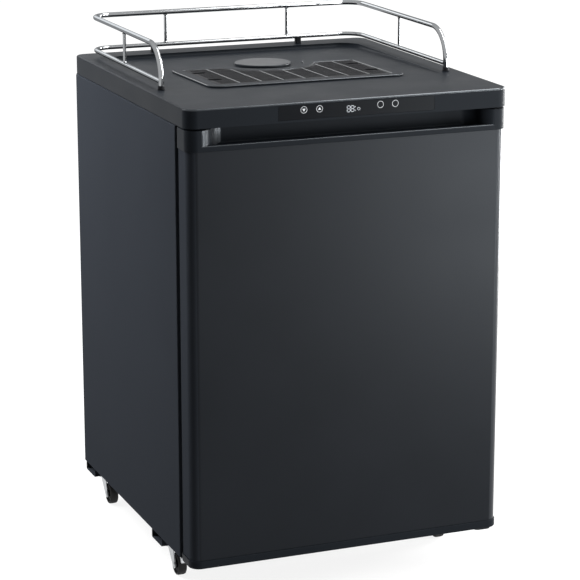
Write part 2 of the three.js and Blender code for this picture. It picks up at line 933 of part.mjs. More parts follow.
// A moulded shell: the hollow under it follows the scoop at one wall's distance
function doorTopCap() {
  const low = doorTop - topCapHeight;
  const outer = softPrism(doorPlan(0), low, doorTop, capEdge);
  const inner = prismAlongZ(doorPlan(capWall), low - overrun, doorTop - capWall);
  const hollow = cutBy(inner, scoopCutter(capWall));
  const bossLow = doorTop - topPinLength - hingeBlind - capWall;
  const boss = rodAlongZ(hingeX, hingeY, bossLow, doorTop - capWall / 2, hingeBossRadius, pinSides);
  const bore = rodAlongZ(hingeX, hingeY, bossLow + capWall, doorTop + overrun,
    hingePinRadius + hingePlay, pinSides);
  return cutBy(cutBy(outer, scoopCutter(0), hollow).add(boss), bore);
}

function doorBottomCap() {
  const high = doorBottom + bottomCapHeight;
  const outer = softPrism(doorPlan(0), doorBottom, high, capEdge);
  const hollow = prismAlongZ(doorPlan(capWall), doorBottom + capWall, high + overrun);
  const boss = rodAlongZ(hingeX, hingeY, doorBottom + capWall / 2, high, hingeBossRadius, pinSides);
  const bore = rodAlongZ(hingeX, hingeY, doorBottom - overrun, high + overrun,
    hingePinRadius + hingePlay, pinSides);
  return cutBy(cutBy(outer, hollow).add(boss), bore);
}

function doorSkin() {
  const outer = prismAlongZ(doorPlan(doorSkinInset), skinBottom, skinTop, fineArcSteps);
  const inner = prismAlongZ(doorPlan(doorSkinInset + steelSheet),
    skinBottom - overrun, skinTop + overrun, fineArcSteps);
  const opening = block(-doorSkinHalf + doorSkinReturn, doorSkinHalf - doorSkinReturn,
    frontY + doorDepth / 2, doorBackY + overrun, skinBottom - overrun, skinTop + overrun);
  return cutBy(outer, inner, opening);
}

function doorInsulation() {
  const inset = doorSkinInset + steelSheet + clearance;
  return prismAlongZ(doorPlan(inset), skinBottom + clearance, skinTop - clearance);
}

// The door's inner panel has a raised, hollow dyke that stands just inside the cabinet's mouth
function doorLiner() {
  const half = doorSkinHalf - doorLinerMargin;
  const low = skinBottom + doorLinerMargin;
  const high = skinTop - doorLinerMargin;
  const front = doorBackY - doorSkinInset + clearance;
  const back = front + doorLinerSheet;
  const panel = prismAlongY(roundedRectangle(-half, half, low, high, doorLinerMargin), front, back);
  const ring = (inset, start, end) => prismAlongY(
    roundedRectangle(-doorHalf + dykeInset + inset, doorHalf - dykeInset - inset,
      doorBottom + dykeInset + inset, doorTop - dykeInset - inset, dykeRadius - inset),
    start, end, ringSteps,
  );
  const dykeOuter = cutBy(ring(0, front, back + dykeHeight),
    ring(dykeWidth / 2, front - overrun, back + dykeHeight + overrun));
  const dykeHollow = cutBy(ring(dykeWall, front - overrun, back + dykeHeight - dykeWall),
    ring(dykeWidth / 2 - dykeWall, front - 2 * overrun, back + dykeHeight));
  return cutBy(joined(panel, dykeOuter), dykeHollow);
}

function doorGasket() {
  const front = doorBackY - doorSkinInset + doorLinerSheet + 2 * clearance;
  const back = cabinetFrontY - clearance;
  const ring = (inset, start, end) => {
    const gap = gasketInset + inset;
    return prismAlongY(roundedRectangle(-doorHalf + gap, doorHalf - gap, doorBottom + gap,
      doorTop - gap, gasketCornerRadius), start, end, ringSteps);
  };
  const root = cutBy(ring(gasketEdge, front, back), ring(gasketWidth - gasketEdge, front - overrun, back + overrun));
  const bulb = cutBy(ring(0, front + gasketEdge, back - gasketEdge),
    ring(gasketWidth, front - overrun, back + overrun));
  return root.add(bulb);
}

// The top bracket lies on the cabinet under the worktop, and its pin drops into the door's cap
function hingeBracketTop() {
  const low = shellTop + clearance;
  const outline = roundedRectangle(hingeX - hingePlateWidth / 2 - hingePinRadius,
    hingeX + hingePlateReach, hingeY - hingePlateReach, cabinetFrontY + hingePlateSeat,
    hingePlateReach / 2);
  const plate = prismAlongZ(outline, low, low + hingePlate);
  const pin = rodAlongZ(hingeX, hingeY, doorTop - topPinLength, low + hingePlate / 2, hingePinRadius, pinSides);
  return plate.add(pin);
}

// The bottom bracket is screwed under the base and steps down below the door
function hingeBracketBottom() {
  const high = baseBottom - clearance;
  const seat = high - hingePlate;
  const step = seat - hingeJoggle;
  const bend = cabinetFrontY - hingePlate;
  const front = hingeY - hingePlateReach;
  const shape = new THREE.Shape();
  shape.moveTo(front, step);
  shape.lineTo(bend, step);
  shape.lineTo(bend + hingeJoggle, seat);
  shape.lineTo(cabinetFrontY + hingePlateSeat, seat);
  shape.lineTo(cabinetFrontY + hingePlateSeat, high);
  shape.lineTo(bend + hingeJoggle - hingePlate / 2, high);
  shape.lineTo(bend - hingePlate / 2, step + hingePlate);
  shape.lineTo(front, step + hingePlate);
  const strap = prismAlongX(shape, hingeX - hingePlateWidth / 2 - hingePinRadius, hingeX + hingePlateReach);
  const pin = rodAlongZ(hingeX, hingeY, step, doorBottom + bottomPinLength, hingePinRadius, pinSides);
  const head = rodAlongZ(hingeX, hingeY, step - pinHeadHeight, step + hingePlate / 2, pinHeadRadius, plugSides / 2);
  return joined(strap, pin, head);
}

// The steel shell: two sides and a top in one sheet, with a flange all round the door opening
function cabinetShell() {
  const outer = (inset) => roundedRectangle(-cabinetHalf + inset, cabinetHalf - inset,
    baseBottom, shellTop - inset, 0, shellCornerRadius - inset);
  const wrap = prismAlongY(outer(0), cabinetFrontY, cabinetBackY);
  const inside = roundedRectangle(-cabinetHalf + steelSheet, cabinetHalf - steelSheet,
    baseBottom - overrun, shellTop - steelSheet, 0, shellCornerRadius - steelSheet);
  const hollow = prismAlongY(inside, cabinetFrontY + steelSheet, cabinetBackY + overrun);
  const mouth = block(-cabinetHalf + shellFrontFlange, cabinetHalf - shellFrontFlange,
    cabinetFrontY - overrun, cabinetFrontY + 2 * overrun,
    baseBottom + shellFrontFlange, shellTop - shellFrontFlange);
  const hole = rodAlongZ(0, holeY, shellTop - overrun, shellTop + overrun,
    holeRadius + sleeveWall + roofHolePlay, coverSides);
  return cutBy(wrap, hollow, mouth, hole);
}

// The cold space: full height at the front and stepped over the machine bay at the back
function cavity(growth, front) {
  const face = roundedRectangle(-cavityHalfWidth - growth, cavityHalfWidth + growth,
    cavityBottom - growth, cavityTop + growth, cavityRadius + growth);
  const through = prismAlongY(face, front, cavityBackY + growth, fineArcSteps);
  const bench = block(-worktopWidth, worktopWidth, stepFrontY + growth, cavityBackY + 2 * overrun,
    cavityBottom - 2 * overrun, stepTop - growth);
  return cutBy(through, bench);
}

function innerLiner() {
  const shell = cavity(linerWall, cabinetFrontY);
  const rim = roundedRectangle(-cabinetHalf + shellFrontFlange + clearance,
    cabinetHalf - shellFrontFlange - clearance, baseBottom + shellFrontFlange + clearance,
    shellTop - shellFrontFlange - clearance, clearance);
  const flange = prismAlongY(rim, cabinetFrontY, cabinetFrontY + linerWall);
  const hole = rodAlongZ(0, holeY, cavityTop - overrun, cavityTop + 2 * overrun,
    holeRadius + sleeveWall + clearance, coverSides);
  const gasHole = rodAlongY(gasPlugReach, gasPlugHeight, cavityBackY - overrun, backY,
    gasPlugRadius + clearance, plugSides);
  return cutBy(joined(shell, flange), cavity(0, cabinetFrontY - overrun), hole, gasHole);
}

function cabinetInsulation() {
  const front = cabinetFrontY + linerWall + clearance;
  const foamBlock = prismAlongY(
    roundedRectangle(-shellInnerHalf, shellInnerHalf, baseTop + clearance,
      shellTop - steelSheet - clearance, 0, shellCornerRadius - steelSheet),
    front, cabinetBackY,
  );
  const bay = block(-worktopWidth, worktopWidth, bayFrontY - clearance, backY + overrun,
    baseBottom, bayCeiling + steelSheet + clearance);
  const hole = rodAlongZ(0, holeY, cavityTop - overrun, shellTop + overrun,
    holeRadius + sleeveWall + clearance, coverSides);
  const gasHole = rodAlongY(gasPlugReach, gasPlugHeight, cavityBackY - overrun, backY,
    gasPlugRadius + clearance, plugSides);
  return cutBy(foamBlock, cavity(linerWall + clearance, cabinetFrontY - overrun), bay, hole, gasHole);
}

function machineBayPanel() {
  const shape = new THREE.Shape();
  shape.moveTo(bayFrontY, baseTop + clearance);
  shape.lineTo(bayFrontY + steelSheet, baseTop + clearance);
  shape.lineTo(bayFrontY + steelSheet, bayCeiling);
  shape.lineTo(cabinetBackY, bayCeiling);
  shape.lineTo(cabinetBackY, bayCeiling + steelSheet);
  shape.lineTo(bayFrontY, bayCeiling + steelSheet);
  return prismAlongX(shape, -shellInnerHalf, shellInnerHalf);
}

function backPanel() {
  const half = cabinetHalf - backPlateMargin;
  const outline = roundedRectangle(-half, half, bayCeiling, shellTop - backPlateMargin, shellCornerRadius);
  const front = cabinetBackY + clearance;
  const plate = prismAlongY(outline, front, front + steelSheet);
  const gasHole = rodAlongY(gasPlugReach, gasPlugHeight, cavityBackY, backY,
    gasPlugRadius + clearance, plugSides);
  return cutBy(plate, gasHole);
}

// The plug closes the gas line's way through the back wall, with a head on each side
function gasLinePlug() {
  const outside = cabinetBackY + 2 * clearance + steelSheet;
  const inside = cavityBackY - clearance;
  const plug = turnedAlongY([
    [0, inside - gasPlugHeadHeight],
    [gasPlugHead, inside - gasPlugHeadHeight],
    [gasPlugHead, inside],
    [gasPlugRadius, inside],
    [gasPlugRadius, outside],
    [gasPlugHead, outside],
    [gasPlugHead, outside + gasPlugHeadHeight],
    [0, outside + gasPlugHeadHeight],
  ], plugSides);
  return moved(plug, new THREE.Matrix4().makeTranslation(gasPlugReach, 0, gasPlugHeight));
}

function basePan() {
  const front = cabinetFrontY + steelSheet + clearance;
  const sheet = block(-shellInnerHalf, shellInnerHalf, front, cabinetBackY, baseBottom, baseTop);
  const channels = [frontCasterY, rearCasterY].map((middle) => {
    const half = channelWidth / 2;
    const outer = block(-shellInnerHalf, shellInnerHalf, middle - half, Math.min(middle + half, cabinetBackY),
      baseBottom - channelDepth, baseBottom + baseSheet / 2);
    const inner = block(-worktopWidth, worktopWidth, middle - half + channelWall,
      Math.min(middle + half, cabinetBackY) - channelWall,
      baseBottom - channelDepth + channelWall, baseBottom);
    return cutBy(outer, inner);
  });
  return joined(sheet, ...channels);
}

// Casters: each is drawn about its own swivel axis, with the wheel trailing to the front

function casterPlate() {
  const low = casterHeight - plateSheet;
  const half = plateSize / 2;
  const plate = prismAlongZ(roundedRectangle(-half, half, -half, half, plateCornerRadius), low, casterHeight);
  const crownTop = low - forkCrownDrop + forkSheet;
  const pinLow = crownTop - forkSheet - clearance;
  const race = turned([
    [0, pinLow - kingpinHeadHeight],
    [kingpinHeadRadius, pinLow - kingpinHeadHeight],
    [kingpinHeadRadius, pinLow],
    [kingpinRadius, pinLow],
    [kingpinRadius, crownTop + clearance],
    [racewayRadius - racewayTaper, crownTop + clearance],
    [racewayRadius, low + plateSheet / 2],
    [0, low + plateSheet / 2],
  ], racewaySides);
  return plate.add(race);
}

function casterFork(hasBrake) {
  const crownTop = casterHeight - plateSheet - forkCrownDrop + forkSheet;
  const crownLow = crownTop - forkSheet;
  const outer = forkGap + forkSheet;
  const lean = forkLeanShare;
  const side = new THREE.Shape();
  side.moveTo(forkCrownHalf, crownTop);
  side.lineTo(-forkCrownHalf, crownTop);
  side.lineTo(-forkCrownHalf - pedalPinRadius, crownTop - forkShoulder);
  side.absarc(-casterTrail, wheelRadius, forkEndRadius, halfTurn + lean, fullTurn - lean);
  side.lineTo(forkCrownHalf, crownTop - forkShoulder);
  const legs = [-outer, forkGap].map((left) => prismAlongX(side, left, left + forkSheet));
  const crown = cutBy(
    block(-outer, outer, -forkCrownHalf, forkCrownHalf, crownLow, crownTop),
    rodAlongZ(0, 0, crownLow - overrun, crownTop + overrun, kingpinRadius + axlePlay, pinSides),
  );
  const head = outer + axleHeadHeight;
  const axle = rodAlongX(-casterTrail, wheelRadius, -head, head, axleRadius, pinSides);
  const heads = [-head, outer - clearance].map((left) => rodAlongX(-casterTrail, wheelRadius,
    left, left + axleHeadHeight + clearance, axleHeadRadius, pinSides / 2));
  const fork = joined(...legs, crown, axle, ...heads);
  if (!hasBrake) return fork;
  const pin = rodAlongX(-pedalPivotForward, pedalPivotHeight, -outer, outer, pedalPinRadius, pinSides / 2);
  return fork.add(pin);
}

function casterWheel() {
  const tread = wheelHalfWidth - wheelTreadEdge;
  const treadRadius = wheelRadius / Math.cos(halfTurn / wheelSides);
  const bore = axleRadius + axlePlay;
  const rimInner = wheelRadius - wheelRimDepth;
  const half = [
    [bore, wheelHubHalf],
    [wheelHubRadius, wheelWebHalf],
    [rimInner, wheelWebHalf],
    [rimInner, wheelHalfWidth],
    [treadRadius, tread],
  ];
  const other = half.map(([radius, height]) => [radius, -height]).reverse();
  const wheel = turned([...half, ...other, half[0]], wheelSides);
  const lay = new THREE.Matrix4().makeRotationY(quarterTurn);
  const lift = new THREE.Matrix4().makeTranslation(0, -casterTrail, wheelRadius);
  return moved(wheel, lift.multiply(lay));
}

// The pedal turns on a pin between the fork's legs and reaches out over the wheel
function brakePedal() {
  const barrel = rodAlongX(-pedalPivotForward, pedalPivotHeight, -pedalHalfWidth, pedalHalfWidth,
    pedalBarrelRadius, pinSides);
  const bore = rodAlongX(-pedalPivotForward, pedalPivotHeight, -forkGap, forkGap,
    pedalPinRadius + pedalPlay, pinSides);
  const root = -pedalPivotForward - pedalBarrelRadius / 2;
  const tip = -pedalPivotForward - pedalReach;
  const top = pedalPivotHeight + pedalBarrelRadius;
  const toe = top - pedalDrop;
  const tongue = new THREE.Shape();
  tongue.moveTo(root, top);
  tongue.quadraticCurveTo(tip + pedalToe, top, tip, toe);
  tongue.lineTo(tip + pedalSheet, toe);
  tongue.quadraticCurveTo(tip + pedalToe + pedalSheet / 2, top - pedalSheet, root, top - pedalSheet);
  const plate = prismAlongX(tongue, -pedalHalfWidth, pedalHalfWidth);
  return cutBy(barrel.add(plate), bore);
}

function addCaster(place, x, y, hasBrake) {
  const corner = new THREE.Group();
  corner.position.set(x, y, 0);
  kegerator.add(corner);
  addPiece(`caster_plate_${place}`, casterPlate(), zinc, corner);
  addPiece(`caster_fork_${place}`, casterFork(hasBrake), zinc, corner);
  addPiece(`caster_wheel_${place}`, casterWheel(), rubberBlack, corner);
  if (hasBrake) addPiece(`brake_pedal_${place}`, brakePedal(), zinc, corner);
}

function kegFloorPlate() {
  const low = cavityBottom + clearance;
  const high = low + kegPlateSheet;
  const front = cabinetFrontY + kegPlateFrontGap;
  const back = stepFrontY - kegPlateBackGap;
  const half = cavityHalfWidth - kegPlateSideGap;
  const plate = prismAlongZ(
    roundedRectangle(-half, half, front, back, kegPlateRadius), low, high,
  );
  const middle = (front + back) / 2;
  const ringRadius = (back - front) / 2 - kegRingMargin;
  const ring = (radius, bottom, top) => rodAlongZ(0, middle, bottom, top, radius, kegRingSides);
  const ridge = cutBy(ring(ringRadius, low, high + kegRingHeight),
    ring(ringRadius - kegRingWidth, low - overrun, high + kegRingHeight + overrun));
  return plate.add(ridge);
}

// The cover over the evaporator: a shell open to the back wall, with louvres and a guarded fan hole
function evaporatorCover() {
  const back = cavityBackY - clearance;
  const front = back - coolerDepth;
  const face = (inset) => roundedRectangle(-coolerHalfWidth + inset, coolerHalfWidth - inset,
    coolerBottom + inset, coolerTop - inset, coolerRadius - inset);
  const outer = joined(prismAlongY(face(0), front + coolerEdge, back),
    prismAlongY(face(coolerEdge / 2), front, back - coolerEdge));
  const hollow = prismAlongY(face(coolerWall + coolerEdge / 2), front + coolerWall, back + overrun);
  const opening = rodAlongY(0, fanHeight, front - overrun, front + overrun, fanOpeningRadius, fanRingSides);
  const slots = [];
  for (let i = 0; i < louvreCount; i += 1) {
    const low = coolerBottom + louvreRise + i * louvrePitch;
    slots.push(block(-louvreHalfWidth, louvreHalfWidth, front - overrun, front + overrun,
      low, low + louvreHeight));
  }
  const guard = [];
  for (let i = 0; i < guardBarCount; i += 1) {
    const bar = block(-fanOpeningRadius - guardBarWidth, fanOpeningRadius + guardBarWidth,
      0, coolerWall, -guardBarWidth / 2, guardBarWidth / 2);
    const turn = new THREE.Matrix4().makeRotationY(halfTurn * i / guardBarCount);
    guard.push(moved(bar, turn.premultiply(new THREE.Matrix4().makeTranslation(0, front, fanHeight))));
  }
  return joined(cutBy(outer, hollow, opening, ...slots), ...guard);
}

function evaporatorPlate() {
  const back = cavityBackY - evaporatorFoot;
  const edge = coolerWall + coolerEdge + evaporatorMargin;
  const outline = roundedRectangle(-coolerHalfWidth + edge, coolerHalfWidth - edge,
    coolerBottom + edge, coolerTop - edge, evaporatorCornerRadius);
  const plate = prismAlongY(outline, back - evaporatorSheet, back);
  const way = rodAlongY(0, fanHeight, back - overrun, back + overrun, motorRadius + evaporatorFoot, fanRingSides);
  const reach = coolerHalfWidth - edge - 2 * evaporatorFootRadius;
  const rise = coolerBottom + edge + 2 * evaporatorFootRadius;
  const drop = coolerTop - edge - 2 * evaporatorFootRadius;
  const feet = [[-reach, rise], [reach, rise], [-reach, drop], [reach, drop]].map(([x, z]) => rodAlongY(
    x, z, back - evaporatorSheet / 2, cavityBackY - clearance, evaporatorFootRadius, footSides,
  ));
  return joined(cutBy(plate, way), ...feet);
}

// The motor stands on the back wall and its shaft carries the fan's hub
function fanMotor() {
  const back = cavityBackY - clearance;
  const hubFront = back - coolerDepth + coolerWall + fanSetback;
  const motorFront = hubFront + fanHubDepth + motorGap;
  const motor = rodAlongY(0, fanHeight, motorFront, back, motorRadius, fanRingSides / 2);
  const shaft = rodAlongY(0, fanHeight, hubFront + shaftShortfall, motorFront + overrun,
    motorShaftRadius, pinSides);
  return motor.add(shaft);
}

function fanImpeller() {
  const front = cavityBackY - clearance - coolerDepth + coolerWall + fanSetback;
  const hub = rodAlongY(0, 0, 0, fanHubDepth, fanHubRadius, fanRingSides / 2);
  const bore = rodAlongY(0, 0, shaftShortfall / 2, fanHubDepth + overrun,
    motorShaftRadius + shaftPlay, pinSides);
  const blades = [];
  for (let i = 0; i < bladeCount; i += 1) {
    const outline = new THREE.Shape();
    outline.moveTo(fanHubRadius * bladeRootShare, -bladeHalfChord * bladeRootShare);
    outline.quadraticCurveTo(fanTipRadius, -bladeHalfChord, fanTipRadius - bladeSheet, 0);
    outline.quadraticCurveTo(fanTipRadius, bladeHalfChord, fanHubRadius * bladeRootShare,
      bladeHalfChord * bladeRootShare / 2);
    const blade = prismAlongY(outline, -bladeSheet / 2, bladeSheet / 2);
    const pitch = new THREE.Matrix4().makeRotationX(bladePitch);
    const middle = new THREE.Matrix4().makeTranslation(0, fanHubDepth / 2, 0);
    const around = new THREE.Matrix4().makeRotationY(fullTurn * i / bladeCount);
    const slab = block(-fanTipRadius, fanTipRadius, 0, fanHubDepth, -fanTipRadius, fanTipRadius);
    blades.push(moved(blade, around.multiply(middle).multiply(pitch)).intersect(slab));
  }
  const wheel = cutBy(joined(hub, ...blades), bore);
  return moved(wheel, new THREE.Matrix4().makeTranslation(0, front, fanHeight));
}

// Machine bay: the compressor stands on its rubber feet over the base

// The farthest that the can reaches to its side, over the seam's bead
function compressorSide() {
  return (compressorRadius + compressorSeamRise) * compressorStretchShare + clearance;
}

function compressorPlace() {
  return new THREE.Matrix4().makeTranslation(compressorCentreX, (bayFrontY + cabinetBackY) / 2, 0);
}

function compressor() {
  const footLow = baseTop + clearance;
  const plateLow = footLow + compressorFootGap;
  const plateTop = plateLow + compressorPlate;
  const low = plateTop - compressorPlate / 2;
  const high = plateTop + compressorHeight;
  const seam = low + (high - low) * compressorSeamShare;
  const shoulder = compressorHeight * compressorShoulderShare;
  const can = turned([
    [0, low],
    [compressorRadius * compressorFlatShare * 2, low],
    [compressorRadius, low + shoulder],
    [compressorRadius, seam],
    [compressorRadius + compressorSeamRise, seam],
    [compressorRadius + compressorSeamRise, seam + compressorSeamHeight],
    [compressorRadius, seam + compressorSeamHeight],
    [compressorRadius, high - 2 * shoulder],
    [compressorRadius * (1 - compressorShoulderShare), high - shoulder],
    [compressorRadius * compressorFlatShare, high],
    [0, high],
  ], compressorSides);
  const oval = moved(can, new THREE.Matrix4().makeScale(compressorStretchShare, 1, 1));
  const plate = block(-compressorPlateHalfWidth, compressorPlateHalfWidth,
    -compressorPlateHalfDepth, compressorPlateHalfDepth, plateLow, plateTop);
  const feet = [-1, 1].flatMap((side) => [-1, 1].map((end) => rodAlongZ(
    side * (compressorPlateHalfWidth - footInset), end * (compressorPlateHalfDepth - footInset),
    footLow, plateLow + compressorPlate / 2, footRadius, footSides,
  )));
  return moved(joined(oval, plate, ...feet), compressorPlace());
}

function relayBox() {
  const left = compressorSide();
  const low = baseTop + relayRise;
  const shape = roundedRectangle(-relayDepth / 2, relayDepth / 2, low, low + relayHeight, relayEdge);
  const body = prismAlongX(shape, left, left + relayWidth);
  const middle = left + relayWidth / 2;
  const gland = rodAlongZ(middle, 0, low - glandLength, low + relayEdge, glandRadius, pinSides);
  const bore = rodAlongZ(middle, 0, low - glandLength - overrun, low + relayEdge, glandBore, pinSides);
  return moved(cutBy(body.add(gland), bore), compressorPlace());
}

function evaporationPan() {
  const low = baseTop + 2 * clearance + compressorFootGap + compressorPlate + compressorHeight;
  const outline = (inset) => roundedRectangle(-panHalfWidth + inset, panHalfWidth - inset,
    -panHalfDepth + inset, panHalfDepth - inset, panRadius - inset);
  const body = prismAlongZ(outline(0), low, low + panHeight);
  const hollow = prismAlongZ(outline(panWall), low + panWall, low + panHeight + overrun);
  return moved(cutBy(body, hollow), compressorPlace());
}

// A refrigerant pipe leaves the compressor's end and turns forward into the bay's wall
function refrigerantPipe(side, rise, reach) {
  const middle = (bayFrontY + cabinetBackY) / 2;
  const start = compressorCentreX + side * compressorSide();
  const height = baseTop + rise;
  const corners = [
    point(start, middle, height),
    point(start + side * reach, middle, height),
    point(start + side * reach, bayFrontY + steelSheet + clearance, height),
  ];
  return tube(corners, [pipeBend], pipeRadius, pipeSides, pipeBendSteps);
}

addPiece('worktop', worktop(), blackMoulding);
addPiece('control_lens', controlLens(), glossBlack);
addPiece('control_board', controlBoard(), boardGreen);
for (const [name, x] of Object.entries(buttonPlaces)) addPiece(name, controlButton(x), glossBlack);
addPiece('tower_hole_cover', towerHoleCover(), blackMoulding, deck);
addPiece('tower_hole_sleeve', towerHoleSleeve(), darkPlastic);
addPiece('drip_tray', dripTray(), blackMoulding, deck);
addPiece('drip_grille', dripGrille(), blackMoulding, deck);

addPiece('guard_rail_top', guardRailTop(), chromeTube);
addPiece('guard_rail_bottom', guardRailBottom(), chromeTube);
const sideSpindleY = frontY + sideSpindleInset;
const backSpindleY = backY - railBackInset;
addPiece('rail_spindle_left', railSpindle(-railHalfWidth, sideSpindleY), chromeTube);
addPiece('rail_spindle_right', railSpindle(railHalfWidth, sideSpindleY), chromeTube);
addPiece('rail_spindle_back_left', railSpindle(-backSpindleReach, backSpindleY), chromeTube);
addPiece('rail_spindle_back_right', railSpindle(backSpindleReach, backSpindleY), chromeTube);
addPiece('rail_foot_front_left', postFoot(-railHalfWidth), darkPlastic);
addPiece('rail_foot_front_right', postFoot(railHalfWidth), darkPlastic);
addPiece('rail_foot_back_left', backFoot(-backFootReach), darkPlastic);
addPiece('rail_foot_back_right', backFoot(backFootReach), darkPlastic);

addPiece('cabinet_shell', cabinetShell(), blackPaint);
addPiece('back_panel', backPanel(), blackPaint);
addPiece('base_pan', basePan(), blackPaint);
addPiece('inner_liner', innerLiner(), whiteLiner);
addPiece('cabinet_insulation', cabinetInsulation(), foam);
addPiece('machine_bay_panel', machineBayPanel(), zinc);
addPiece('gas_line_plug', gasLinePlug(), rubberBlack);

addPiece('door_skin', doorSkin(), blackPaint);
addPiece('door_top_cap', doorTopCap(), blackMoulding);
addPiece('door_bottom_cap', doorBottomCap(), blackMoulding);
addPiece('door_insulation', doorInsulation(), foam);
addPiece('door_liner', doorLiner(), whiteLiner);
addPiece('door_gasket', doorGasket(), rubberBlack);
addPiece('hinge_bracket_top', hingeBracketTop(), blackPaint);
addPiece('hinge_bracket_bottom', hingeBracketBottom(), blackPaint);

addPiece('keg_floor_plate', kegFloorPlate(), zinc);
addPiece('evaporator_plate', evaporatorPlate(), alloy);
addPiece('evaporator_cover', evaporatorCover(), whiteLiner);
addPiece('fan_motor', fanMotor(), compressorBlack);
addPiece('fan_impeller', fanImpeller(), darkPlastic);

addPiece('compressor', compressor(), compressorBlack);
addPiece('relay_box', relayBox(), darkPlastic);
addPiece('evaporation_pan', evaporationPan(), darkPlastic);
addPiece('discharge_pipe', refrigerantPipe(-1, dischargeRise, dischargeReach), copper);
addPiece('suction_pipe', refrigerantPipe(1, suctionRise, suctionReach), copper);

addCaster('front_left', -casterReach, frontCasterY, true);
addCaster('front_right', casterReach, frontCasterY, true);
addCaster('rear_left', -casterReach, rearCasterY, false);
addCaster('rear_right', casterReach, rearCasterY, false);

export default kegerator;
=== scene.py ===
import json
import math
from types import SimpleNamespace

import bpy
from bpy.props import FloatProperty, FloatVectorProperty, PointerProperty
from bpy.types import Operator, Panel, PropertyGroup
from mathutils import Matrix, Vector


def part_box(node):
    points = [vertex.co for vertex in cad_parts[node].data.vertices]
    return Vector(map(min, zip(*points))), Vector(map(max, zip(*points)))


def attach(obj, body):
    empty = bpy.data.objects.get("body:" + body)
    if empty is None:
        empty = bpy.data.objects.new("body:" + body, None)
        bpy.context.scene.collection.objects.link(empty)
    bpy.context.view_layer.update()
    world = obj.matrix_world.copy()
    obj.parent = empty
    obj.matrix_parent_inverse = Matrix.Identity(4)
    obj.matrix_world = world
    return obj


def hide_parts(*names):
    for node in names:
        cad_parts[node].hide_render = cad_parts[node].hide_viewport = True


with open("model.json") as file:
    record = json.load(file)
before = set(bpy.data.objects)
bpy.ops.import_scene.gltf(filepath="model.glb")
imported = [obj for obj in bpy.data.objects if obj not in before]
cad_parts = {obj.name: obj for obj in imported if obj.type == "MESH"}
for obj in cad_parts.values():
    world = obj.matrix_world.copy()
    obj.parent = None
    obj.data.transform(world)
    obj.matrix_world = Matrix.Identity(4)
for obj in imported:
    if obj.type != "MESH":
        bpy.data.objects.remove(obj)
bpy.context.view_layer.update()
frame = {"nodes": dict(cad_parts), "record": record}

bl_info = {
    "name": "Kegerator",
    "version": (1, 0, 0),
    "blender": (4, 5, 0),
    "location": "View3D > Sidebar > Kegerator",
    "description": "Builds a free-standing kegerator around its packed frame",
    "category": "Object",
}

MM = 0.001
QUARTER = math.pi / 2
# How far a cutter reaches past what it cuts, in millimetres
OVERRUN = 6
# Places nearer than this, in millimetres, are one place; a direction with less than this along an
# axis lies across it
TOUCH = 0.02
# A direction with more than this along an axis runs along it
ALONG = 0.99
# Two faces whose normals agree better than this are one flat face
FLAT = 0.9998
# The photograph's side in pixels, and the width of a camera's sensor in millimetres
PIXELS = 580
SENSOR = 36.0
WHITE = (1, 1, 1, 1)
RIGHT, BACK, UP = Vector((1, 0, 0)), Vector((0, 1, 0)), Vector((0, 0, 1))
# The four corners of a plate: which side, and which end
CORNERS = ((-1, -1), (-1, 1), (1, -1), (1, 1))


# Colours

def linear(code):
    """An sRGB hex value as the linear red, green, blue and alpha that a shader takes."""
    parts = [int(code[i : i + 2], 16) / 255 for i in (1, 3, 5)]
    return [p / 12.92 if p <= 0.04045 else ((p + 0.055) / 1.055) ** 2.4 for p in parts] + [1.0]


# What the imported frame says

RECORD = frame["record"]
SLOT_OF = {part["node"]: part["material_slot"] for part in RECORD["subparts"]}
BODY_OF = {node: body for body, nodes in RECORD["behaviour"]["bodies"].items() for node in nodes}


def corners(node):
    """A node's lowest and highest corners at rest, in millimetres."""
    low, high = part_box(node)
    return Vector(low) / MM, Vector(high) / MM


def middle(node):
    low, high = corners(node)
    return (low + high) / 2


# Sizes in millimetres, in the frame's own axes

def metres(point):
    return Vector(point) * MM


def shifted(spot, **places):
    """A point with some of its coordinates given anew."""
    spot = Vector(spot)
    for axis, value in places.items():
        setattr(spot, axis, value)
    return spot


def alone(*pieces):
    """Selects these pieces and nothing else; the first is the active one."""
    bpy.ops.object.select_all(action="DESELECT")
    for piece in pieces:
        piece.select_set(True)
    if pieces:
        bpy.context.view_layer.objects.active = pieces[0]


def removed(*pieces):
    for piece in pieces:
        bpy.data.objects.remove(piece)


def settled(name):
    """Names the new object and puts its place, turn and scale into its mesh."""
    piece = bpy.context.object
    piece.name = name
    alone(piece)
    bpy.ops.object.transform_apply(location=True, rotation=True, scale=True)
    return piece


def block(name, low, high):
    """A cuboid between two corners."""
    low, high = metres(low), metres(high)
    alone()
    bpy.ops.mesh.primitive_cube_add(size=1, location=(low + high) / 2, scale=high - low)
    return settled(name)


def rod(name, start, end, radius, sides=48):
    """A round bar from one point to another."""
    start, end = metres(start), metres(end)
    along = end - start
    alone()
    bpy.ops.mesh.primitive_cylinder_add(
        vertices=sides, radius=radius * MM, depth=along.length, location=(start + end) / 2,
        rotation=along.to_track_quat("Z", "Y").to_euler(),
    )
    return settled(name)


def opened(kind):
    """Enters edit mode with every vertex, edge or face selected."""
    bpy.ops.object.mode_set(mode="EDIT")
    bpy.ops.mesh.select_mode(type=kind)
    bpy.ops.mesh.select_all(action="SELECT")


def merged():
    """Selects the whole mesh and merges what meets."""
    bpy.ops.mesh.select_all(action="SELECT")
    bpy.ops.mesh.remove_doubles(threshold=TOUCH * MM)


def done():
    bpy.ops.object.mode_set(mode="OBJECT")


def closed(piece):
    """Turns every selected face outward and leaves edit mode."""
    bpy.ops.mesh.normals_make_consistent(inside=False)
    done()
    return piece


def outward(piece):
    """Turns all of a solid's faces outward."""
    alone(piece)
    opened("FACE")
    return closed(piece)


